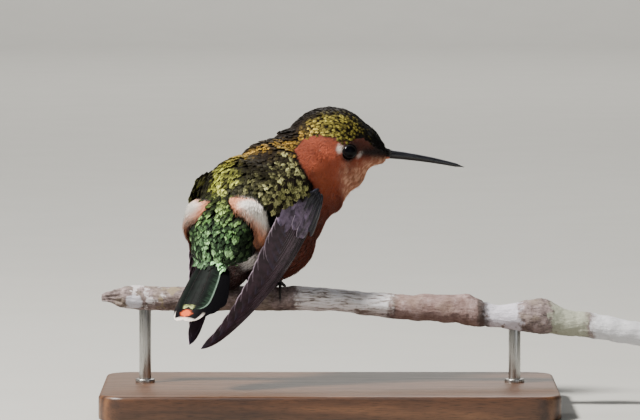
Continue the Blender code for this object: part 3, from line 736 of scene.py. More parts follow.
def tract_of(t, angle):
    """Masks of the plumage's tracts: crown, face, back, flank tuft and under parts."""
    round_ = np.abs(angle)
    flank, flank_t = on_flank(t, angle)
    crown = (t > 4.2) & (round_ < np.interp(t, *CROWN_EDGE))
    face = (t > np.interp(round_, *CHEEK_EDGE)) & ~crown
    tuft = (flank > 21) & (flank < 104) & ~face
    tuft &= (flank_t > np.interp(flank, *TUFT_FOOT)) & (flank_t < np.interp(flank, *TUFT_TOP))
    back = (np.abs(rolled(t, angle)) < np.interp(t, *BACK_EDGE)) & ~crown & ~face & ~tuft
    return {"crown": crown, "face": face, "tuft": tuft, "back": back, "under": ~(crown | face | tuft | back)}


def blended(share, first, second):
    share = np.clip(share, 0, 1)[:, None]
    return np.asarray(first) * (1 - share) + np.asarray(second) * share


def along_stops(t, *stops):
    """Colours along the spine, from stops of (place, colour)."""
    places, colours = zip(*stops)
    return np.stack([np.interp(t, places, channel) for channel in zip(*colours)], 1)


def painted_light_of(t, angle, chance):
    """How much each place of crown and back is painted as gleaming, 0 to 1: painted highlight where its spangles catch
    the light, painted shade where they turn from it.
    """
    own = rolled(t, angle)
    shoulder = np.where(own < -46, -own, own)  # past the dark edge, the left side is as the right
    # painted highlight and shade: the crown's spangles are painted lit at its sides, dark along its top and towards the
    # forehead
    crown = 0.85 * ease(13, 34, np.abs(angle)) * (1 - 0.75 * ease(6.45, 7.05, t)) * (1 - ease(6.9, 7.25, t))
    line = bell(own, np.interp(t, *GOLD_HIGHLIGHT_LINE), GOLD_HIGHLIGHT_REACH) * ease(2.0, 2.5, t)
    base = 0.06 + 0.26 * ease(28, 48, shoulder)
    # painted highlight on the rump, dimmer towards its sides and its left
    rump = (0.62 - 0.18 * ease(1.2, 1.6, t)) * (1 - 0.8 * ease(56, 74, np.abs(own)) * (1 - ease(1.75, 2.1, t)))
    rump = rump * (1 - 0.4 * ease(16, 34, -own))
    mantle = np.maximum(1.15 * line, base + (rump - base) * (1 - ease(2.05, 2.5, t)))
    # painted highlights where feathers catch the light together, painted shade spots between them
    for *spot, reach, strength in PAINTED_HIGHLIGHTS:
        mantle = np.maximum(mantle, strength * bell(away_from(spot, t, shoulder, BACK_STEPS), 0, reach))
    for *spot, reach in PAINTED_SHADE_SPOTS:
        mantle = mantle * (1 - 0.92 * bell(away_from(spot, t, shoulder, BACK_STEPS), 0, reach))
    # painted shade: a dark band down the mantle's left side, where it turns from the light
    mantle = mantle * (1 - 0.9 * ease(20, 34, -own) * (1 - ease(46, 60, -own)) * ease(2.2, 2.6, t))
    gleam = np.where(t > 4.2, crown + line * (1 - ease(4.4, 4.9, t)), mantle)
    # each feather's painted glint varies by chance
    return np.clip(gleam * (0.05 + 3.0 * chance**3) + 0.35 * ease(0.6, 1.0, gleam), 0, 1)


def markings(t, angle, chance):
    """The ground colour and the spangle of each place: chance, 0 to 1, varies them from feather to feather."""
    tracts, round_, own = tract_of(t, angle), np.abs(angle), np.abs(rolled(t, angle))
    ground = along_stops(t, (0.6, BLACK_GREEN), (1.6, DARK_GREEN), (2.6, DARK_OLIVE), (3.8, BROWN_BLACK))
    shine = along_stops(t, (1.25, MINT), (1.55, EMERALD), (2.0, LEAF), (2.5, YELLOW_GREEN), (3.0, YELLOW_GREEN),
                        (3.6, GOLD), (5.2, GOLD), (6.0, PALE_GOLD))
    shine = blended(ease(24, 40, own) * ease(2.3, 2.5, t) * (1 - ease(4.3, 4.45, t)), shine, PALE_OLIVE)
    shine = blended(0.4 * (chance - 0.4) * (1 - ease(3.0, 3.6, t)), shine, PALE_OLIVE)
    ground = blended(ease(6.4, 7.0, t), ground, SOOT)
    # the spangles show only where they are painted lit, a painted highlight; elsewhere the ground shows
    shine = blended(1 - painted_light_of(t, angle, chance), shine, ground)

    # face: a painted highlight behind the cheek, painted shade along the face's top and on the breast, darker round the
    # eye, pale down the throat
    def far(spot):
        return away_from(spot, t, round_)

    throat = np.maximum(ease(5.2, 6.3, t) * ease(104, 134, round_), ease(6.95, 7.3, t) * ease(98, 112, round_))
    lore_line = bell(round_, np.interp(t, (6.8, 7.5), (94, 92)), np.interp(t, (6.8, 7.6), (9, 30)))
    ring = (1 - ease(1.60, 2.15, far(EYE_PLACE))) * (far(EAR_SPOT) > 0.68) * (far(LORE_SPOT) > 0.56)
    rufous = blended(chance * 0.4, BRICK, RUST)
    for share, tint in (
        # painted highlight behind the cheek
        (0.5 * bell(far((4.8, 106)), 0, 2.6), SORREL),
        # painted shade along the face's top
        (0.3 * (1 - ease(62, 92, round_)), DEEP_BROWN),
        (0.72 * bell(far((6.30, 106)), 0, 1.6), DEEP_BROWN),
        # painted shade on the breast
        (0.6 * ease(112, 150, round_) * (1 - ease(5.2, 6.1, t)), DEEP_BROWN),
        (0.75 * ease(6.3, 6.7, t) * (1 - ease(86, 94, round_)), DEEP_BROWN),
        (throat * (0.3 + 0.75 * ease(0.35, 0.75, chance)), PEACH),
        (bell(far(EAR_SPOT), 0, 0.68, 4), WHITE),
        (lore_line * ease(6.64, 6.88, t), SOOT),
        (0.9 * bell(far(LORE_SPOT), 0, 0.54, 4), WHITE),
        (0.85 * ring, SOOT),
    ):
        rufous = blended(share, rufous, tint)

    # the flank's tuft: a white heart, an apricot edge and rust-coloured tips below
    flank, flank_t = on_flank(t, angle)
    heart = 1 - ease(0.3, 1.0, np.hypot((flank - 60) / np.where(flank > 60, 48, 32), (flank_t - 2.08) / 0.38))
    tuft = blended(ease(0.05, 0.55, heart + 0.10 * (chance - 0.5)), APRICOT, CREAM)
    tuft = blended(ease(0.40, 0.80, heart), tuft, WHITE)
    tips = 1 - ease(1.62, 1.92, flank_t + 0.16 * (chance - 0.5))
    tuft = blended(tips * 0.9, tuft, blended(chance, RUST, APRICOT))

    # painted shade: the under parts are darkened from rust towards deep brown, more or less by chance, for the shade
    # under the body and wing
    belly = blended(0.35 + 0.5 * chance, RUST, DEEP_BROWN)
    belly = blended(0.85 * ease(3.9, 4.6, t), belly, rufous)
    belly = blended(0.75 * (1 - ease(1.5, 2.2, t)), belly, SHADE_GREY)
    vent = bell(t, 1.30, 0.14) * ease(82, 90, own) * (1 - ease(110, 124, own))
    belly = blended(vent * 2.0, belly, blended(0.6 + 0.4 * chance, SMOKE, WHITE))

    for tract, colour in (("face", rufous), ("tuft", tuft), ("under", belly)):
        ground, shine = (np.where(tracts[tract][:, None], colour, before) for before in (ground, shine))
    return ground, shine


def give_colour(mesh, name, colours):
    layer = mesh.attributes.new(name, "FLOAT_COLOR", "POINT")
    layer.data.foreach_set("color", np.column_stack([colours, np.ones(len(colours))]).astype(np.float32).ravel())


down = finish_of("skin_and_down", Roughness=0.85)
fluff = speckle(2600, 4.0)
dress(Base_Color=shaded(attribute("ground"), ramp(fluff, (0.3, 0.5), (0.7, 0.95))))
relief(fluff, 0.0001, 0.8)
give_colour(skin_mesh, "ground", markings(skin["t"], skin["angle"], np.full(len(skin_at), 0.5))[0])
settle("skin", skin_mesh, down, 0, "plumage", ["head", "neck", "trunk"])

# ---------------------------------------------------------------- plumage
# Small contour feathers cover the whole body like tiles: rounded, shining scales on crown and back, and
# soft loose-barbed tufts on face, flanks and under parts. Each grows out of the skin towards the tail.

SCALE_STEPS = 4  # across and along
SCALE_OUTLINE = ((0.0, 0.3, 0.6, 0.85, 1.0), (0.30, 0.80, 1.0, 0.94, 0.62))  # (along, share of the width)
SCALE_TIP = (-0.16, -0.02, 0.02, -0.02, -0.16)  # how far the barbs of the tip row reach past it, side to side
LOCK_MIDDLE, LOCK_OUTLINE = 0.5, (0.7, 1.0, 0.0)  # a lock of barbs: its middle, its width at root, middle and tip
PATCH = 0.003  # the size of a feather's patch on the unwrapped skin
MAP_SPAN = (380, 8.4)  # the degrees round the body and the steps of the spine that the unwrapped skin spans
SHEEN_METAL = 0.32
BRISTLES, THIGH_TUFTS = 520, 230


def vane_layers(bm):
    """How far across and along its own feather each point lies."""
    layers = bm.verts.layers.float
    return [layers.get(name) or layers.new(name) for name in ("across", "along")]


def template_of(bm):
    """A feather's shape as arrays: points (across, along, lift), their map places, and its faces."""
    bmesh.ops.recalc_face_normals(bm, faces=bm.faces)
    bm.verts.index_update()
    across, along = vane_layers(bm)
    points = np.array([v.co for v in bm.verts])
    place = np.array([(v[across], v[along]) for v in bm.verts])
    loops = np.concatenate([[v.index for v in face.verts] for face in bm.faces])
    sizes = np.array([len(face.verts) for face in bm.faces])
    bm.free()
    return points, place, loops, sizes


def scale_shape():
    """A rounded feather: an arched grid with a ragged tip, closed underneath."""
    bm = bmesh.new()
    across, along = vane_layers(bm)
    bmesh.ops.create_grid(bm, x_segments=SCALE_STEPS, y_segments=SCALE_STEPS, size=1.0)
    for v in bm.verts:
        v[across], v[along] = v.co.x, (v.co.y + 1) / 2
    raised = set(new_points(bmesh.ops.extrude_face_region(bm, geom=list(bm.faces), use_keep_orig=True)))
    for v in bm.verts:
        c, row = v[across], v[along]
        a = np.interp(row, np.linspace(0, 1, SCALE_STEPS + 1), SCALE_OUTLINE[0])
        barb = np.interp(c, np.linspace(-1, 1, SCALE_STEPS + 1), SCALE_TIP) if row > 0.9 else 0.0
        v.co = (c * np.interp(a, *SCALE_OUTLINE), a + barb, 1.0 if v in raised else 0.0)
        if v not in raised:  # the underside's map lies inside the upper side's, so no face is without width
            v[across], v[along] = c * 0.88, 0.06 + row * 0.88
    return template_of(bm)


def lock_shape():
    """A soft tuft's lock of barbs: a flat three-sided spike."""
    bm = bmesh.new()
    across, along = vane_layers(bm)
    bmesh.ops.create_cone(bm, cap_ends=True, segments=3, radius1=1.0, radius2=0.0, depth=1.0)
    bmesh.ops.remove_doubles(bm, verts=bm.verts, dist=1e-5)
    whole = [*bm.verts, *bm.edges, *bm.faces]
    bmesh.ops.bisect_plane(bm, geom=whole, plane_co=(0, 0, LOCK_MIDDLE - 0.5), plane_no=(0, 0, 1))
    for v in bm.verts:
        a = v.co.z + 0.5
        spoke = Vector(v.co.xy) / max(1 - a, 1e-6) if a < 0.99 else Vector((0, 0))
        width = np.interp(a, (0, LOCK_MIDDLE, 1), LOCK_OUTLINE)
        side, ridge = spoke.x / math.cos(math.pi / 6), max(0.0, (spoke.y + 0.5) / 1.5)
        v.co = (side * width, a, ridge * width)
        v[across], v[along] = side * (1 - 0.6 * a), a + 0.04 * ridge * (a < 0.99)
    return template_of(bm)


def tree_of(mesh):
    bm = bmesh.new()
    bm.from_mesh(mesh)
    tree = BVHTree.FromBMesh(bm)
    bm.free()
    return tree


skin_mesh.calc_loop_triangles()
triangles = read(skin_mesh, "loop_triangles", "vertices")
corner_a, corner_b, corner_c = (skin_at[triangles[:, k]] for k in range(3))
triangle_area = np.linalg.norm(np.cross(corner_b - corner_a, corner_c - corner_a), axis=1) / 2
skin_tree = tree_of(skin_mesh)
# the closed wings and tail, which press the body's feathers flat
covers = {name: tree_of(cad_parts[name].data) for name in ("wing_left", "wing_right", "tail")}


def feathers_of(tract, spacing, seed, reach, towards_belly, reject=None, over=0.0):
    """Roots whose feathers show on one tract: reach is how far towards the tail a feather's visible part lies."""
    rng = np.random.default_rng(seed)
    inside = np.zeros(len(skin_at), bool)
    for shift in (0.0, 0.12, 0.24, 0.36, 0.48):
        inside |= tract_of(skin["t"] - shift, skin["angle"])[tract]
    pool = np.flatnonzero(inside[triangles].any(axis=1))
    area = triangle_area[pool]
    tries = int(area.sum() / spacing**2 * 5)
    chosen = triangles[rng.choice(pool, tries, p=area / area.sum())]
    u, v = rng.random(tries), rng.random(tries)
    u, v = np.where(u + v > 1, 1 - u, u), np.where(u + v > 1, 1 - v, v)
    weights = np.stack([1 - u - v, u, v], 1)
    found = {key: (skin[key][chosen] * (weights[..., None] if skin[key].ndim > 1 else weights)).sum(1)
             for key in ("at", "normal", "t", "side", "rise", "ahead", "right")}
    found["chance"] = rng.random(tries)
    kept = thinned(found["at"], float(spacing))
    found = {key: value[kept] for key, value in found.items()}
    for key in ("normal", "ahead", "right"):
        found[key] = unit(found[key])
    found["angle"] = np.degrees(np.arctan2(found["side"], found["rise"]))
    found["lie"] = lie_of(found, towards_belly)
    tips = found["at"] + found["lie"] * reach + found["normal"] * (coat_depth(found["t"])[:, None] - reach**2 / 18)
    seen = along_spine(tips)
    found["show_t"], found["show_angle"] = seen["t"] + over, seen["angle"]
    keep = tract_of(found["show_t"], found["show_angle"])[tract]
    if reject:
        keep &= ~reject(found)
    return {key: value[keep] for key, value in found.items()}


def thinned(places, gap):
    """Leaves out each place that is too near one already taken."""
    taken, kept = {}, []
    steps = [(x, y, z) for x in (-1, 0, 1) for y in (-1, 0, 1) for z in (-1, 0, 1)]
    for i, (key, place) in enumerate(zip(map(tuple, np.floor(places / gap).astype(int)), places)):
        near = (j for s in steps for j in taken.get((key[0] + s[0], key[1] + s[1], key[2] + s[2]), ()))
        if all(((places[j] - place) ** 2).sum() >= gap * gap for j in near):
            taken.setdefault(key, []).append(i)
            kept.append(i)
    return kept


def pressed(gap, under=3.0):
    """A test for roots that a closed wing or the tail lies over or beside."""
    def test(found):
        hidden = np.zeros(len(found["t"]), bool)
        for tree in covers.values():
            for i, (place, normal) in enumerate(zip(found["at"], found["normal"])):
                start = Vector(place) * MM
                near = tree.find_nearest(start, gap * MM)[0]
                hidden[i] |= near is not None or tree.ray_cast(start, Vector(normal), under * MM)[0] is not None
        return hidden
    return test


def lie_of(found, towards_belly):
    """Which way each feather points: to the tail, turned towards the belly by a share."""
    if callable(towards_belly):
        towards_belly = towards_belly(found["t"], np.abs(found["angle"]))
    angle = np.radians(found["angle"])[:, None]
    down = (found["right"] * np.cos(angle) - np.cross(found["right"], found["ahead"]) * np.sin(angle)) * np.sign(angle)
    lie = -found["ahead"] + down * np.asarray(towards_belly).reshape(-1, 1)
    return unit(lie - found["normal"] * (lie * found["normal"]).sum(1, keepdims=True))


def lay(name, shape, found, length, width, depth, finish, colours, seed, thickness=0.05, sway=10, lift=0.0,
        arch=0.18, ragged=0.0, smooth=0, wrap=9.0):
    """Lays one feather on each root and joins them all. Sizes are in mm, one for all or one each.

    colours holds the ground and the spangle: one row for each feather, or one for each point of each feather.
    """
    rng = np.random.default_rng(seed)
    points, place, loops, sizes = shape
    count, per, looped = len(found["t"]), len(points), len(loops)
    lie, normal = found["lie"], found["normal"]
    across = np.cross(lie, normal)

    def swung(first, second, spread):
        turn = np.radians(rng.normal(0, spread, count))[:, None]
        return first * np.cos(turn) + second * np.sin(turn), second * np.cos(turn) - first * np.sin(turn)

    lie, across = swung(lie, across, sway)
    across, normal = swung(across, normal, sway * 0.6)
    length, width, depth, lift = (np.broadcast_to(np.asarray(x, float), count)[:, None] for x in
                                  (length, width, depth, lift))
    length = length * rng.uniform(0.86, 1.14, count)[:, None]
    width = width * rng.uniform(0.88, 1.12, count)[:, None]
    barb = np.rint((place[:, 0] + 1) * 3).astype(int) * (place[:, 1] > 0.9)  # which barbs of the tip
    uneven = rng.uniform(-ragged, ragged, (count, barb.max() + 1))
    uneven[:, 0] = 0
    c, a, raised = points.T[:, None]
    x = c * width / 2
    y = (a + uneven[:, barb]) * length
    girth = np.maximum(np.hypot(found["side"], found["rise"]), 3.0)[:, None]
    z = (1 - (1 - np.clip(a, 0, 1)) ** 2) * depth + lift * a**2 + raised * thickness
    z += arch * width * (1 - c**2) * a - x**2 / (2 * girth) - y**2 / (2 * wrap)
    at = found["at"][:, None] + across[:, None] * x[..., None] + lie[:, None] * y[..., None]
    at = (at + normal[:, None] * z[..., None]) * MM

    mesh = bpy.data.meshes.new(name)
    each = np.arange(count)[:, None]
    mesh.vertices.add(count * per)
    mesh.vertices.foreach_set("co", at.reshape(-1))
    mesh.loops.add(count * looped)
    mesh.loops.foreach_set("vertex_index", (loops + each * per).ravel().astype(np.int32))
    mesh.polygons.add(count * len(sizes))
    mesh.polygons.foreach_set("loop_start", (np.cumsum(sizes) - sizes + each * looped).ravel())
    mesh.polygons.foreach_set("loop_total", np.tile(sizes, count))
    mesh.update(calc_edges=True)
    vane = np.tile((place * (0.5, 1) + (0.5, 0))[loops], (count, 1))
    root_map = np.stack([found["angle"] / MAP_SPAN[0] + 0.5, found["t"] / MAP_SPAN[1] + 0.02], 1)
    patch = root_map[:, None] + ((place * (0.5, 1) - (0, 0.5)) * PATCH)[loops]
    for key, uv in (("Vane", vane), ("OFBake", patch)):
        mesh.uv_layers.new(name=key).data.foreach_set("uv", uv.astype(np.float32).ravel())
    for key, colour in zip(("ground", "shine"), colours):
        give_colour(mesh, key, np.repeat(colour, per, axis=0) if len(colour) == count else colour)
    layer = mesh.attributes.new("chance", "FLOAT", "POINT")
    layer.data.foreach_set("value", np.repeat(found["chance"], per).astype(np.float32))
    settle(name, mesh, finish, smooth, "plumage")


def vane_place():
    """Across and along a feather, 0 to 1."""
    return parts_of(node("UVMap", {}, uv_map="Vane"))[:2]


def from_middle(across, middle=0.5):
    return calculated("ABSOLUTE", across - middle)


def scale_finish(name, sheen_from):
    """A shining body feather: a dark base and a bright, ragged band of shining barbs towards the tip."""
    made = finish_of(name, Specular_IOR_Level=0.10)
    across, along = vane_place()
    spot = node("CombineXYZ", {"X": across * 10.0, "Y": along * 4.0, "Z": attribute("chance", "Fac") * 60.0})
    barb = speckle(1.0, 3.0, 0.6, where=spot)
    band = ramp(along + (barb - 0.5) * 1.1, (sheen_from - 0.10, 0.0), (sheen_from + 0.12, 1.0))
    bright = band * ramp(from_middle(across), (0.34, 1.0), (0.49, 0.2)) * ramp(barb, (0.38, 0.15), (0.60, 1.0))
    dress(Base_Color=mix(bright, attribute("ground"), attribute("shine")), Metallic=bright * SHEEN_METAL,
          Roughness=ramp(bright, (0.0, 0.75), (1.0, 0.42)))
    relief(barb, 0.00006, 0.7)
    return made


scale_of_feather, lock_of_barbs = scale_shape(), lock_shape()
shining, shining_throughout = scale_finish("shining_scales", 0.60), scale_finish("shining_shoulder_scales", 0.42)
soft = finish_of("soft_barbs", Roughness=0.8, Specular_IOR_Level=0.2, Sheen_Weight=0.15)
shade = ramp(vane_place()[1], (0.0, 0.84), (0.8, 1.04)) * ramp(attribute("chance", "Fac"), (0.0, 0.92), (1.0, 1.05))
dress(Base_Color=shaded(attribute("ground"), shade))


def clumped(found, size, share):
    """Chances that run together in clumps, as shining feathers catch the light in groups."""
    wave = np.array([noise.noise(Vector(place) / size) for place in found["at"]])
    return np.clip(found["chance"] * (1 - share) + (0.5 + wave * 1.1) * share, 0, 1)


def shown(found):
    """The two colours of each feather, by the place where it shows."""
    return markings(found["show_t"], found["show_angle"], found["chance"])


def flowing(found, reach_share):
    """Colours for each point of each lock, by the place where that point lies, so markings run through."""
    share = np.clip(lock_of_barbs[0][:, 1], 0, 1)[None] / reach_share
    t, angle = ((found[key][:, None] * (1 - share) + found["show_" + key][:, None] * share).ravel()
                for key in ("t", "angle"))
    return markings(t, angle, np.repeat(found["chance"], share.shape[1]))


def rooted(places, seed):
    """Feathers at given places, each (root in mm, out, lie), such as those over a wing's root."""
    at, normal, lie = (np.array([tuple(v) for v in vectors]) for vectors in zip(*places))
    chance = np.random.default_rng(seed).random(len(at))
    return {**along_spine(at), "at": at, "normal": unit(normal), "lie": unit(lie), "chance": chance}


crown = feathers_of("crown", 0.42, 11, 1.0, 0.12)
crown["chance"] = clumped(crown, 1.6, 0.35)
small = 1 - 0.40 * ease(6.0, 7.3, crown["t"])
nape = bell(crown["t"], 5.05, 0.5) * (np.abs(crown["angle"]) < 30)
lay("plumage_crown", scale_of_feather, crown, 1.6 * small, 0.78 * small, coat_depth(crown["t"]) * 0.9, shining,
    shown(crown), 21, lift=nape * (crown["chance"] < 0.4) * 0.45 + 0.02, arch=0.07, ragged=0.10, smooth=60)

back = feathers_of("back", 0.50, 12, 1.5, 0.12, pressed(0.35), 0.07)
back["chance"] = clumped(back, 2.0, 0.5)
tail_coverts = 1 + 0.45 * (1 - ease(0.95, 1.35, back["t"]))
lay("plumage_back", scale_of_feather, back, 2.3 * tail_coverts, 1.04, coat_depth(back["t"]) * 0.92, shining,
    shown(back), 22, lift=0.03, arch=0.07, ragged=0.12, smooth=60)


def cheek_turn(t, angle):
    """The face's feathers sweep back from the bill and down round the cheek."""
    return ease(40, 85, angle) * (1 - ease(120, 165, angle)) * (0.35 + 0.75 * ease(5.0, 6.6, t))


face = feathers_of("face", 0.122, 13, 1.25, cheek_turn,
                   lambda found: away_from(EYE_PLACE, found["t"], np.abs(found["angle"])) < 1.12)
face["chance"] = clumped(face, 0.7, 0.7)
fine_face = 1 - 0.42 * ease(5.8, 7.0, face["t"])
fringe = ease(6.0, 6.6, face["t"]) * ease(140, 165, np.abs(face["angle"])) * (face["chance"] > 0.8) * 0.5
lay("plumage_face", lock_of_barbs, face, 1.5 * fine_face, 0.17 * fine_face, coat_depth(face["t"]) * 0.95, soft,
    flowing(face, 0.8), 23, thickness=0.022, sway=4, lift=fringe, arch=0.05)

flank = feathers_of("tuft", 0.105, 14, 1.9, 0.5, pressed(0.15, 0.9))
flank["chance"] = clumped(flank, 0.5, 0.6)
lay("plumage_flanks", lock_of_barbs, flank, 2.7, 0.15, coat_depth(flank["t"]) * 1.15, soft,
    flowing(flank, 0.7), 24, thickness=0.02, sway=4, lift=0.08, arch=0.04)

under = feathers_of("under", 0.2, 15, 1.6, 0.0, pressed(0.15, 0.9))
lay("plumage_under", lock_of_barbs, under, 2.5, 0.22, coat_depth(under["t"]) * 0.95, soft,
    flowing(under, 0.62), 25, thickness=0.03, sway=6, arch=0.08)

# short bristly feathers at the bill's root, which point forward over the nostrils and under the chin
rng = np.random.default_rng(16)
bill_up = bill_side.cross(bill_ahead).normalized()
bill_up = bill_up if bill_up.z > 0 else -bill_up
places = []
for _ in range(BRISTLES):
    turn = rng.uniform(0, 2 * math.pi)
    spoke = bill_side * math.sin(turn) + bill_up * math.cos(turn)
    on_axis = FEET + BILL_ROOT + bill_turn @ Vector((rng.uniform(-1.9, -0.4), 0, 0))
    places.append((on_axis + spoke * (1.15 if spoke.z > -0.3 else 0.95), spoke, bill_ahead - spoke * 0.22))
bristle = rooted(places, 17)
dark = np.array([[spoke.z > -0.45] for _, spoke, _ in places])
tint = np.where(dark, SOOT, blended(bristle["chance"], BRICK, PEACH))
lay("plumage_bill_root", lock_of_barbs, bristle, 1.3, 0.2, 0.06, soft, (tint, tint), 26, thickness=0.03, sway=6,
    arch=0.05, wrap=40)

# the thighs' puffs, which hide the shanks down to the toes; their near-black is painted shade, for the shadow under the
# body
places = []
for side in (-1, 1):
    sole = toe_course(FEET.x + side * FOOT_SPREAD)
    for _ in range(THIGH_TUFTS):
        share, turn = rng.uniform(0.34, 1.1), rng.uniform(0, 2 * math.pi)
        spoke = Vector((math.cos(turn), math.sin(turn), 0))
        root = sole + TARSUS_RISE * share + spoke * (0.25 + 0.9 * max(0.0, share - 0.3))
        places.append((root, spoke, -TARSUS_RISE.normalized() + spoke * 0.1))
thigh = rooted(places, 18)
tint = blended(thigh["chance"] * 0.6, SOOT, DEEP_BROWN)
lay("plumage_thighs_in_painted_shade", lock_of_barbs, thigh, 1.5, 0.3, 0.08, soft, (tint, tint), 27, thickness=0.04, sway=9,
    arch=0.05, wrap=30)

# ---------------------------------------------------------------- wings
# Each closed wing is ten long primaries stacked like a fan, the shortest on top, then the secondaries, and
# rows of rounded coverts over their roots. A horny shaft runs near the leading edge of each quill.

# Each wing's side, wrist and tip, from the grip, how far its leading edge bows and how it arches.
WINGS = {
    "right": (1, Vector((8.9, -3.2, 19.4)), Vector((-11.2, -16.3, -8.1)), 4.6, 2.0),
    "left": (-1, Vector((-3.3, 10.0, 18.9)), Vector((-13.4, -15.7, -7.4)), 2.5, 3.6),
}
WING_HEADING, WING_CAMBER, WING_CROWN, WING_START, WING_ROUND = 46, 0.022, 3.5, -1.5, 7.0
WING_LENGTH = 37.5
PRIMARIES = [(18.5 + 2.1 * i, 9.7 - 0.78 * i) for i in range(10)]  # (reach, far edge from the leading edge)
SECONDARIES = [(11.0 + 1.5 * i, 9.9 - 0.12 * i) for i in range(5)]
QUILL_THICKNESS = 0.07
QUILL_STEP = 0.36  # how far each primary's leading edge lies inside the next one's
QUILL_POINT = 5.6  # over how many mm a primary narrows to its tip
QUILL_SHAFT = 0.24  # how far across a quill its shaft runs
STACK_STEP = 0.048  # how much higher each quill lies than the one under it
# Rows of coverts: where their tips lie along the wing, length, width, first and last place across, how many, height.
COVERT_ROWS = ((10.6, 5.6, 2.0, 7.3, 9.5, 3, 0.92), (9.0, 5.2, 2.0, 2.4, 5.6, 4, 1.02),
               (7.0, 4.0, 1.8, 6.6, 9.2, 3, 1.12), (6.0, 3.6, 1.8, 2.2, 5.8, 4, 1.20))
SHOULDER_ROWS = ((6.4, 3.6, 1.3, 0.1, 1.9, 3, 1.02), (4.9, 3.2, 1.3, 0.4, 5.0, 6, 1.24),
                 (3.4, 2.8, 1.2, 0.4, 5.4, 7, 1.30), (1.8, 2.4, 1.1, 0.4, 5.0, 6, 1.34))
# Rows of scapulars: where their tips lie along the wing, and the first and last place across it. The
# last rows are the back's feathers over the wing's inner edge.
SCAPULAR_ROWS = ((9.4, 10.4, 12.2), (8.6, 9.8, 12.4), (7.8, 9.7, 12.4), (7.0, 9.5, 12.4), (6.2, 9.0, 12.2),
                 (5.5, 8.0, 12.0), (4.9, 7.5, 11.8), (4.3, 7.0, 11.6), (3.7, 6.5, 11.6), (3.1, 6.0, 11.6),
                 (2.5, 5.5, 11.6), (1.9, 5.0, 11.6))
SCAPULAR_STEP, SCAPULAR_REACH, SCAPULAR_HEIGHT = 0.7, 1.5, 1.55  # between roots, from root to tip, over the wing
# How far from the wing they start and end to lie down on the body, and how far they stay off its skin.
SCAPULAR_LOOSE, SCAPULAR_REST = (0.6, 1.6), 1.15


class Wing:
    """The surface of a closed wing: places by distance along it and across it from its leading edge."""

    def __init__(self, side, bend, tip, bulge, bow):
        self.bend, self.bulge, self.bow = bend, bulge, bow
        self.along, self.length = (tip - bend).normalized(), (tip - bend).length
        outer_side = turned(WING_HEADING, 0) @ Vector((0, -side, 0))
        self.out = (outer_side - self.along * outer_side.dot(self.along)).normalized()
        self.back = self.along.cross(self.out).normalized() * side

    def at(self, s, across, lift):
        """A point s mm from the wrist, across mm behind the leading edge and lift mm out of the surface."""
        s = s * self.length / WING_LENGTH
        u = min(1.0, max(0.0, (s - WING_START) / (self.length - WING_START)))
        place = across - self.bulge * (1 - (2 * u - 1) ** 2) ** 0.75
        lift = lift + self.bow * math.sin(math.pi * u**0.6) - WING_CAMBER * (place - WING_CROWN) ** 2
        return FEET + self.bend + self.along * s + self.back * place + self.out * lift

    def folded(self, s, across, lift):
        """The same, drawn in to the leading edge near the wrist, where the closed wing is round."""
        opening = min(1.0, max(0.05, (s - WING_START) / WING_ROUND))
        return self.at(s, across * math.sqrt(1 - (1 - opening) ** 2), lift)


def quill(bm, place_at, rows=34, columns=8, thickness=QUILL_THICKNESS):
    """One flat quill feather: a grid laid by place_at(across, along, lift), closed underneath."""
    across, along = vane_layers(bm)
    made = bmesh.ops.create_grid(bm, x_segments=columns, y_segments=rows, size=1.0)["verts"]
    for v in made:
        v[across], v[along] = (v.co.x + 1) / 2, (v.co.y + 1) / 2
    faces = list(dict.fromkeys(face for v in made for face in v.link_faces))
    upper = new_points(bmesh.ops.extrude_face_region(bm, geom=faces, use_keep_orig=True))
    for group, lift in ((made, 0.0), (upper, thickness)):
        for v in group:
            v.co = place_at(v[across], v[along], lift)


def shaft(bm, line, thick, lateral):
    """A quill's shaft, flatter than it is wide."""
    sweep(bm, line, thick, [t * 0.7 for t in thick], 8, lateral)


def quill_piece(name, bm, finish, replaces=()):
    """Finishes joined quills, with a map that runs across and along each one."""
    across, along = vane_layers(bm)
    vane = bm.loops.layers.uv.new("Vane")
    for face in bm.faces:
        for loop in face.loops:
            loop[vane].uv = (loop.vert[across], loop.vert[along])
    piece_of(name, bm, finish, 40, "quills", replaces)


def barb_lines(across, along, middle, lean, count):
    """The fine lines of a feather's barbs, which lean from the shaft towards the tip."""
    return calculated("PINGPONG", (along - from_middle(across, middle) * lean) * count, 0.5)


def quill_finish(name, dark, glow, edge, edge_lead, edge_trail, edge_from, painted_root_shade=0.0):
    """A quill's vane: fine slanting barbs, a faint gloss, pale edges, and painted shade towards its root, where the
    feathers over it lie.
    """
    made = finish_of(name, Specular_IOR_Level=0.45)
    across, along = vane_place()
    lines = barb_lines(across, along, QUILL_SHAFT, 0.10, 150)
    body = mix(ramp(speckle(700), (0.35, 0.0), (0.7, 1.0)), dark, glow)
    body = shaded(body, ramp(lines, (0.05, 0.80), (0.4, 1.08)))
    # painted shade over the root, where the row above overlaps it
    body = shaded(body, ramp(along, (painted_root_shade, 0.3), (painted_root_shade + 0.25, 1.0)))
    body = mix(ramp(along, (0.93, 0.0), (1.0, 0.5)), body, paint(66, 64, 92))
    ragged_across = across + (speckle(2400, 2.0) - 0.5) * 0.05
    trail = ramp(ragged_across, (1 - edge_trail, 0.0), (1.0, 1.0)) * ramp(along, (edge_from, 0.0), (edge_from + 0.12, 1.0))
    pale = calculated("MAXIMUM", ramp(ragged_across, (0.0, 1.0), (edge_lead, 0.0)) * 0.5, trail)
    dress(Base_Color=mix(pale, body, edge), Roughness=ramp(lines, (0.0, 0.52), (1.0, 0.36)))
    relief(lines, 0.00002, 0.5)
    return made


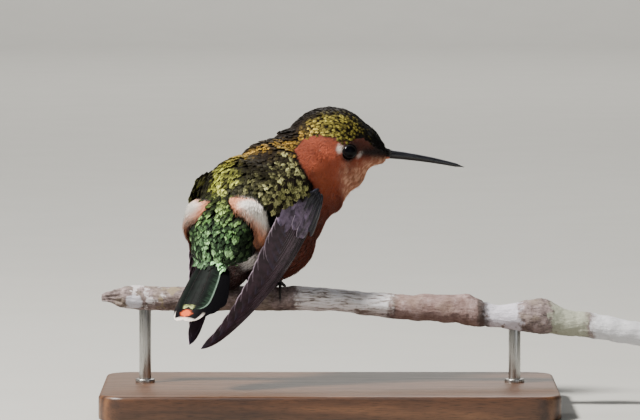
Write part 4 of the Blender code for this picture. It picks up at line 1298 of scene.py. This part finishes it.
wing_vane = quill_finish("wing_vane", paint(32, 20, 29), paint(72, 49, 65), paint(168, 150, 166),
                         0.03, 0.05, 0.62, 0.30)
covert_vane = quill_finish("wing_covert_vane", paint(46, 36, 52), paint(138, 118, 150), paint(198, 182, 202),
                           0.07, 0.09, 0.3, 0.25)
shoulder_vane = quill_finish("wing_shoulder_vane", paint(17, 17, 25), paint(40, 40, 54), paint(72, 70, 84),
                             0.06, 0.08, 0.3)
shaft_horn = finish_of("quill_shaft", Roughness=0.3, Coat_Weight=0.2)
dress(Base_Color=mix(speckle(900), paint(26, 20, 24), paint(66, 52, 54)))
wings = {label: Wing(*shape) for label, shape in WINGS.items()}


def primary_place(wing, number, across, along, lift):
    """A place on a primary, 0 the innermost and shortest, which lies on top of the others."""
    reach, far_edge = PRIMARIES[number]
    under = len(PRIMARIES) - 1 - number  # how many of them lie under this one
    near_edge = QUILL_STEP * under
    start = 1.5 + 0.25 * number
    point = QUILL_POINT / reach  # the share of the quill over which it narrows to its tip
    narrowing = max(0.0, (along - (1 - point)) / point)
    width = max(2.3, min(6.0, far_edge - near_edge)) * (0.42 + 0.58 * ease(0.0, 0.35, along))
    width *= 1 - 0.93 * narrowing**2.4
    tip_shift = 0.55 * narrowing**2.2
    ruffle = 0.03 * math.sin(21 * along + number * 2.1) * across
    height = 0.06 + STACK_STEP * under + 0.10 * math.sin(math.pi * min(1.0, across * 1.15)) + lift
    return wing.folded(start + (reach - start) * along, near_edge + tip_shift + width * across + ruffle, height)


def secondary_place(wing, number, across, along, lift):
    """A place on a secondary, 0 the innermost and shortest."""
    reach, far_edge = SECONDARIES[number]
    under = len(SECONDARIES) - 1 - number
    near_edge = 3.6 + 0.55 * under
    narrowing = max(0.0, (along - 0.78) / 0.22)
    width = (far_edge - near_edge) * (0.5 + 0.5 * ease(0.0, 0.4, along)) * math.sqrt(max(0.02, 1 - narrowing**2 * 0.96))
    height = 0.58 + STACK_STEP * under + 0.12 * math.sin(math.pi * across) + lift
    return wing.folded(1 + (reach - 1) * along, near_edge + width * across, height)


def covert_place(wing, middle, stop, length, width, height, lean, across, along, lift):
    """A place on a covert, whose tip lies stop mm along the wing."""
    tip = max(0.0, (along - 0.70) / 0.30)
    wide = width * (0.6 + 0.4 * ease(0, 0.4, along)) * math.sqrt(max(0.03, 1 - tip**2 * 0.97))
    cup = 0.24 * (1 - (2 * across - 1) ** 2)
    place = middle + lean * length * along + wide * (across - 0.5)
    return wing.folded(stop - length * (1 - along), place, height - 0.20 * ease(0.0, 1.0, along) + cup + lift)


shares = [0.06 + 0.92 * k / 24 for k in range(25)]  # where a wing quill's shaft has its rings
for label, wing in wings.items():
    bm, shafts = bmesh.new(), bmesh.new()
    for place, quills in ((primary_place, PRIMARIES), (secondary_place, SECONDARIES)):
        for number in range(len(quills)):
            quill(bm, lambda *where: place(wing, number, *where))
            line = [place(wing, number, QUILL_SHAFT, a, QUILL_THICKNESS + 0.01) for a in shares]
            shaft(shafts, line, [0.13 * (1 - 0.8 * a) for a in shares], wing.out)
    quill_piece("quills_" + label, bm, wing_vane, ["wing_" + label])
    piece_of("shafts_" + label, shafts, shaft_horn, 50, "quills")

    # coverts: long rounded feathers over the quills' roots, and shorter, darker ones over the bend
    for name, rows, finish in (("coverts_", COVERT_ROWS, covert_vane), ("shoulder_", SHOULDER_ROWS, shoulder_vane)):
        bm = bmesh.new()
        rng = np.random.default_rng(31)
        for end, length, width, first, last, count, height in rows:
            for k in range(count):
                middle = first + (last - first) * k / (count - 1)
                stop = end + rng.uniform(-0.35, 0.35) - 0.05 * middle
                shape = middle, stop, length, width, height + 0.09 * (k % 2), rng.uniform(-0.12, 0.12)
                quill(bm, lambda *where: covert_place(wing, *shape, *where), 10, 8, 0.06)
        quill_piece(name + label, bm, finish)

# the back's last feathers lie over the wings' roots: scapulars, pale olive in the light
places = []
rng = np.random.default_rng(33)
for label, wing in wings.items():
    for row, (stop, first, last) in enumerate(SCAPULAR_ROWS):
        height = SCAPULAR_HEIGHT - 0.06 * stop
        for across in np.arange(first + SCAPULAR_STEP / 2 * (row % 2), last, SCAPULAR_STEP):
            s, place = stop - SCAPULAR_REACH + rng.uniform(-0.2, 0.2), across + rng.uniform(-0.15, 0.15)
            point = wing.at(s, place, height)
            ahead = wing.at(s + 0.5, place, height) - point
            outward = (wing.at(s, place + 0.5, height) - point).cross(ahead).normalized()
            outward = outward if outward.dot(wing.out) > 0 else -outward
            # past the wing's edge they lie down on the body
            loose = ease(*SCAPULAR_LOOSE, covers["wing_" + label].find_nearest(point * MM)[3] / MM)
            on_skin, skin_out = skin_tree.find_nearest(point * MM)[:2]
            outward = outward.lerp(skin_out, loose).normalized()
            point = point.lerp(on_skin / MM + skin_out * SCAPULAR_REST, loose)
            places.append((point, outward, ahead - outward * ahead.dot(outward)))
scapular = rooted(places, 34)
gleam = np.clip(3.0 * clumped(scapular, 1.1, 0.6) - 0.75, 0, 1) * (0.55 + 0.45 * ease(2.85, 3.15, scapular["t"]))
ground = np.tile(BROWN_BLACK, (len(places), 1))
lay("plumage_scapulars", scale_of_feather, scapular, 1.8, 1.25, 0.16, shining_throughout,
    (ground, blended(gleam, ground, blended(0.6 + 0.4 * scapular["chance"], YELLOW_GREEN, PALE_OLIVE))),
    35, lift=0.03, arch=0.05, ragged=0.12, smooth=60, wrap=30)

# ---------------------------------------------------------------- tail
# Ten short broad feathers, closed under the dark green middle pair. On the real bird the outer ones are
# banded, rust at the root, black, a rust spot and a pale tip; here the next pair shows the black, the rust spot and the
# pale tip, and the outer ones are black with paler tips.

TAIL_TIP = Vector((-14.7, -18.6, -2.5))
TAIL_HEADING, TAIL_PITCH, TAIL_LENGTH, TAIL_FAN, TAIL_CAMBER = 31, 47, 19.0, 13.0, 0.10
# From the middle out: how far each stops short, its middle's distance from the tail's own, its width.
RECTRICES = ((2.7, 1.40, 3.7), (0.0, 1.15, 4.3), (1.0, 2.2, 3.6), (2.3, 3.3, 2.9), (4.0, 4.0, 2.4))
TAIL_COVERT_ROWS = ((4.6, 4.6, 0.62), (5.7, 4.0, 0.50), (6.8, 3.2, 0.40))  # where the tips lie, half the width, height
TAIL_COVERT_STEP, TAIL_COVERT_REACH = 0.8, 3.2  # between roots, and from root to tip

tail_frame = turned(TAIL_HEADING, TAIL_PITCH)
tail_up = tail_frame @ Vector((0, 0, 1))


def tail_at(s, middle, height):
    """A point s mm from the tail's root, middle mm to its side and height mm over it."""
    return FEET + TAIL_TIP + tail_frame @ Vector((TAIL_LENGTH - s, -middle, height - TAIL_CAMBER * middle**2))


def tail_place(number, side, across, along, lift):
    short, offset, width = RECTRICES[number]
    s = 1.0 + (TAIL_LENGTH - short - 1.0) * along
    fan = 0.40 + 0.60 * ease(0, TAIL_FAN, s)
    tip = max(0.0, (along - 0.80) / 0.20)
    wide = width * math.sqrt(max(0.02, 1 - tip**2.4 * 0.97)) * (0.45 + 0.55 * ease(0, 0.5, along))
    inward = 0.25 * offset * tip**2  # the tips of the outer ones bend in
    height = 0.26 - 0.085 * number + (0.012 if side > 0 else 0.0) + 0.10 * (1 - (2 * across - 1) ** 2) + lift
    return tail_at(s, (offset * fan - inward + wide * (across - 0.5)) * side, height)


def green_vane(across, along, barb):
    """The middle pair's dark green, with a gloss along the side that faces the light."""
    where = own_place()
    beside = node("VectorMath", {0: where, 1: tuple(tail_frame @ Vector((0, -1, 0)))}, "Value", operation="DOT_PRODUCT")
    beside -= tail_frame.inverted().row[1].dot(-(FEET + TAIL_TIP)) * MM
    lit = ramp(beside * 500.0, (0.0, 0.03), (0.5, 1.0))
    outer = across + (barb - 0.5) * 0.9
    gloss = ramp(outer, (0.70, 0.0), (1.0, 0.24)) * ramp(along, (0.3, 0.2), (0.6, 1.0))
    tip = ramp(along + (barb - 0.5) * 0.10, (0.935, 0.0), (0.965, 1.0)) * ramp(across, (0.35, 1.0), (0.6, 0.0))
    colour = mix(ramp(speckle(700), (0.35, 0.0), (0.7, 1.0)), paint(8, 11, 10), paint(16, 23, 20))
    colour = mix(gloss * lit, colour, paint(86, 116, 94))
    colour = mix(ramp(across, (0.93, 0.0), (0.985, 0.7)) * lit, colour, paint(140, 166, 148))
    return mix(tip, colour, paint(166, 176, 112))


def banded_vane(across, along, barb):
    """Black, with a rust spot and a white fringe at the tip."""
    off = node("CombineXYZ", {"X": across * 1.6, "Y": (along + (barb - 0.5) * 0.10 - 0.905) * 17.0})
    far = node("VectorMath", {0: off}, "Value", operation="LENGTH")
    sides = ramp(across, (0.88, 0.0), (0.94, 1.0)) * ramp(along, (0.84, 0.0), (0.90, 1.0))
    fringe = calculated("MAXIMUM", sides, ramp(along, (0.95, 0.0), (0.972, 1.0)))
    colour = mix(ramp(far, (0.72, 1.0), (1.0, 0.0)), paint(12, 11, 14), paint(222, 96, 48))
    return mix(fringe, colour, paint(236, 224, 214))


def black_vane(across, along, barb):
    return mix(ramp(along, (0.955, 0.0), (0.985, 0.5)), paint(12, 11, 14), paint(120, 96, 84))


def tail_finish(name, colour_of):
    """A tail feather's vane, with fine barbs over its colour."""
    made = finish_of(name, Specular_IOR_Level=0.07)
    across, along = vane_place()
    barb = speckle(1.0, 2.0, where=node("CombineXYZ", {"X": across * 3.0, "Y": along * 60.0}))
    lines = barb_lines(across, along, 0.5, 0.2, 90)
    dress(Base_Color=shaded(colour_of(across, along, barb), ramp(lines, (0.05, 0.80), (0.4, 1.06))),
          Roughness=ramp(lines, (0.0, 0.5), (1.0, 0.38)))
    relief(lines, 0.00002, 0.5)
    return made


TAIL_PIECES = (("tail_outer", (4, 3, 2), black_vane, ["tail"]), ("tail_banded", (1,), banded_vane, ()),
               ("tail_middle", (0,), green_vane, ()))
for name, numbers, colour_of, replaces in TAIL_PIECES:
    bm, shafts = bmesh.new(), bmesh.new()
    for number in numbers:
        for side in (-1, 1):
            quill(bm, lambda *where: tail_place(number, side, *where), 30, 10)
            line = [tail_place(number, side, 0.5, 0.04 + 0.94 * k / 20, QUILL_THICKNESS + 0.01) for k in range(21)]
            shaft(shafts, line, [0.10 * (1 - 0.8 * k / 20) for k in range(21)], tail_up)
    quill_piece(name, bm, tail_finish(name + "_vane", colour_of), replaces)
    piece_of(name + "_shafts", shafts, shaft_horn, 50, "quills")

# the upper tail coverts: the rump's last and longest green feathers, over the tail's root
places, sides = [], []
rng = np.random.default_rng(41)
for stop, half, height in TAIL_COVERT_ROWS:
    for place in np.arange(-half, half + 0.01, TAIL_COVERT_STEP):
        middle = place + rng.uniform(-0.2, 0.2)
        s = stop - TAIL_COVERT_REACH + rng.uniform(-0.4, 0.4) - 0.05 * middle**2
        sides.append(middle)
        places.append((tail_at(s, middle, height), tail_up, tail_frame @ Vector((-1, 0, 0))))
covert = rooted(places, 42)
# painted highlight: the coverts' mint is painted brighter towards the tail's right side, where the light falls
gleam = np.clip(2.0 * clumped(covert, 1.2, 0.5) - 0.3, 0, 1) * (0.3 + 0.7 * ease(-2.5, 2.0, np.array(sides)))
ground = np.tile(BLACK_GREEN, (len(places), 1))
lay("plumage_tail_coverts", scale_of_feather, covert, 3.4, 1.5, 0.25, shining,
    (ground, blended(gleam, ground, MINT)), 43, sway=8, arch=0.08, ragged=0.12, smooth=60, wrap=30)

# ---------------------------------------------------------------- stage
# A plain pale sweep of paper, one broad soft key light from the upper left, a weak fill, a rim light, and
# a lamp for the paper behind.

PAPER_SIZE, PAPER_HEIGHT = 2.1, 1.6  # metres: half its width and how far behind it rises, and how high
bm = bmesh.new()
bmesh.ops.create_grid(bm, x_segments=1, y_segments=1, size=PAPER_SIZE)
far_edge = [e for e in bm.edges if all(v.co.y > PAPER_SIZE - 0.1 for v in e.verts)]
wall = new_points(bmesh.ops.extrude_edge_only(bm, edges=far_edge))
bmesh.ops.translate(bm, vec=(0, 0, PAPER_HEIGHT), verts=wall)
bevel(bm, [e for e in bm.edges if all(v.co.y > PAPER_SIZE - 0.1 and v.co.z < 0.01 for v in e.verts)], 0.4, 16)
paper = finish_of("pale_paper", Roughness=0.9, Specular_IOR_Level=0.2)
dress(Base_Color=mix(speckle(40, 4.0), paint(178, 177, 172), paint(185, 184, 179)))
placed("sweep_of_paper", mesh_from("sweep_of_paper", bm), paper)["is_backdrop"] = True


def aimed(name, data, place, along):
    """Puts a light or the camera in the scene, looking along a line."""
    made = bpy.data.objects.new(name, data)
    made.location = place
    made.rotation_mode = "QUATERNION"
    made.rotation_quaternion = along.to_track_quat("-Z", "Y")
    bpy.context.scene.collection.objects.link(made)
    return made


def soft_light(name, place, size, power, colour, aim=(-0.005, 0.0, 0.035)):
    """A round area light that faces the bird."""
    lamp = bpy.data.lights.new(name, "AREA")
    lamp.shape, lamp.size, lamp.energy, lamp.color = "DISK", size, power, colour
    aimed(name, lamp, place, Vector(aim) - Vector(place))


soft_light("key", (-0.53, -0.28, 0.70), 0.15, 25.0, (1.0, 0.97, 0.92))
soft_light("fill", (0.55, -0.85, 0.35), 0.80, 1.2, (0.90, 0.95, 1.0))
soft_light("rim", (0.10, 0.60, 0.55), 0.35, 1.8, (1.0, 1.0, 1.0))
soft_light("paper_lamp", (0.0, 1.0, 1.1), 0.60, 22.0, (1.0, 0.98, 0.95), (0.0, 2.0, 0.5))
world = bpy.data.worlds.new("studio")
bpy.context.scene.world = world
world.use_nodes = True
world.node_tree.nodes["Background"].inputs["Color"].default_value = (0.86, 0.90, 0.95, 1.0)
world.node_tree.nodes["Background"].inputs["Strength"].default_value = 0.08

CAMERA_PITCH = math.radians(4.0)
CAMERA_DISTANCE, CAMERA_LENS = 0.987, 300.0
CAMERA_AIM = (FEET + Vector((10.175, 1.149, 16.425))) * MM
view = Vector((0, math.cos(CAMERA_PITCH), -math.sin(CAMERA_PITCH)))
lens = bpy.data.cameras.new("camera")
lens.lens, lens.sensor_width, lens.clip_start = CAMERA_LENS, 36.0, 0.05
bpy.context.scene.camera = aimed("camera", lens, CAMERA_AIM - view * CAMERA_DISTANCE, view)

low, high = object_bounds()
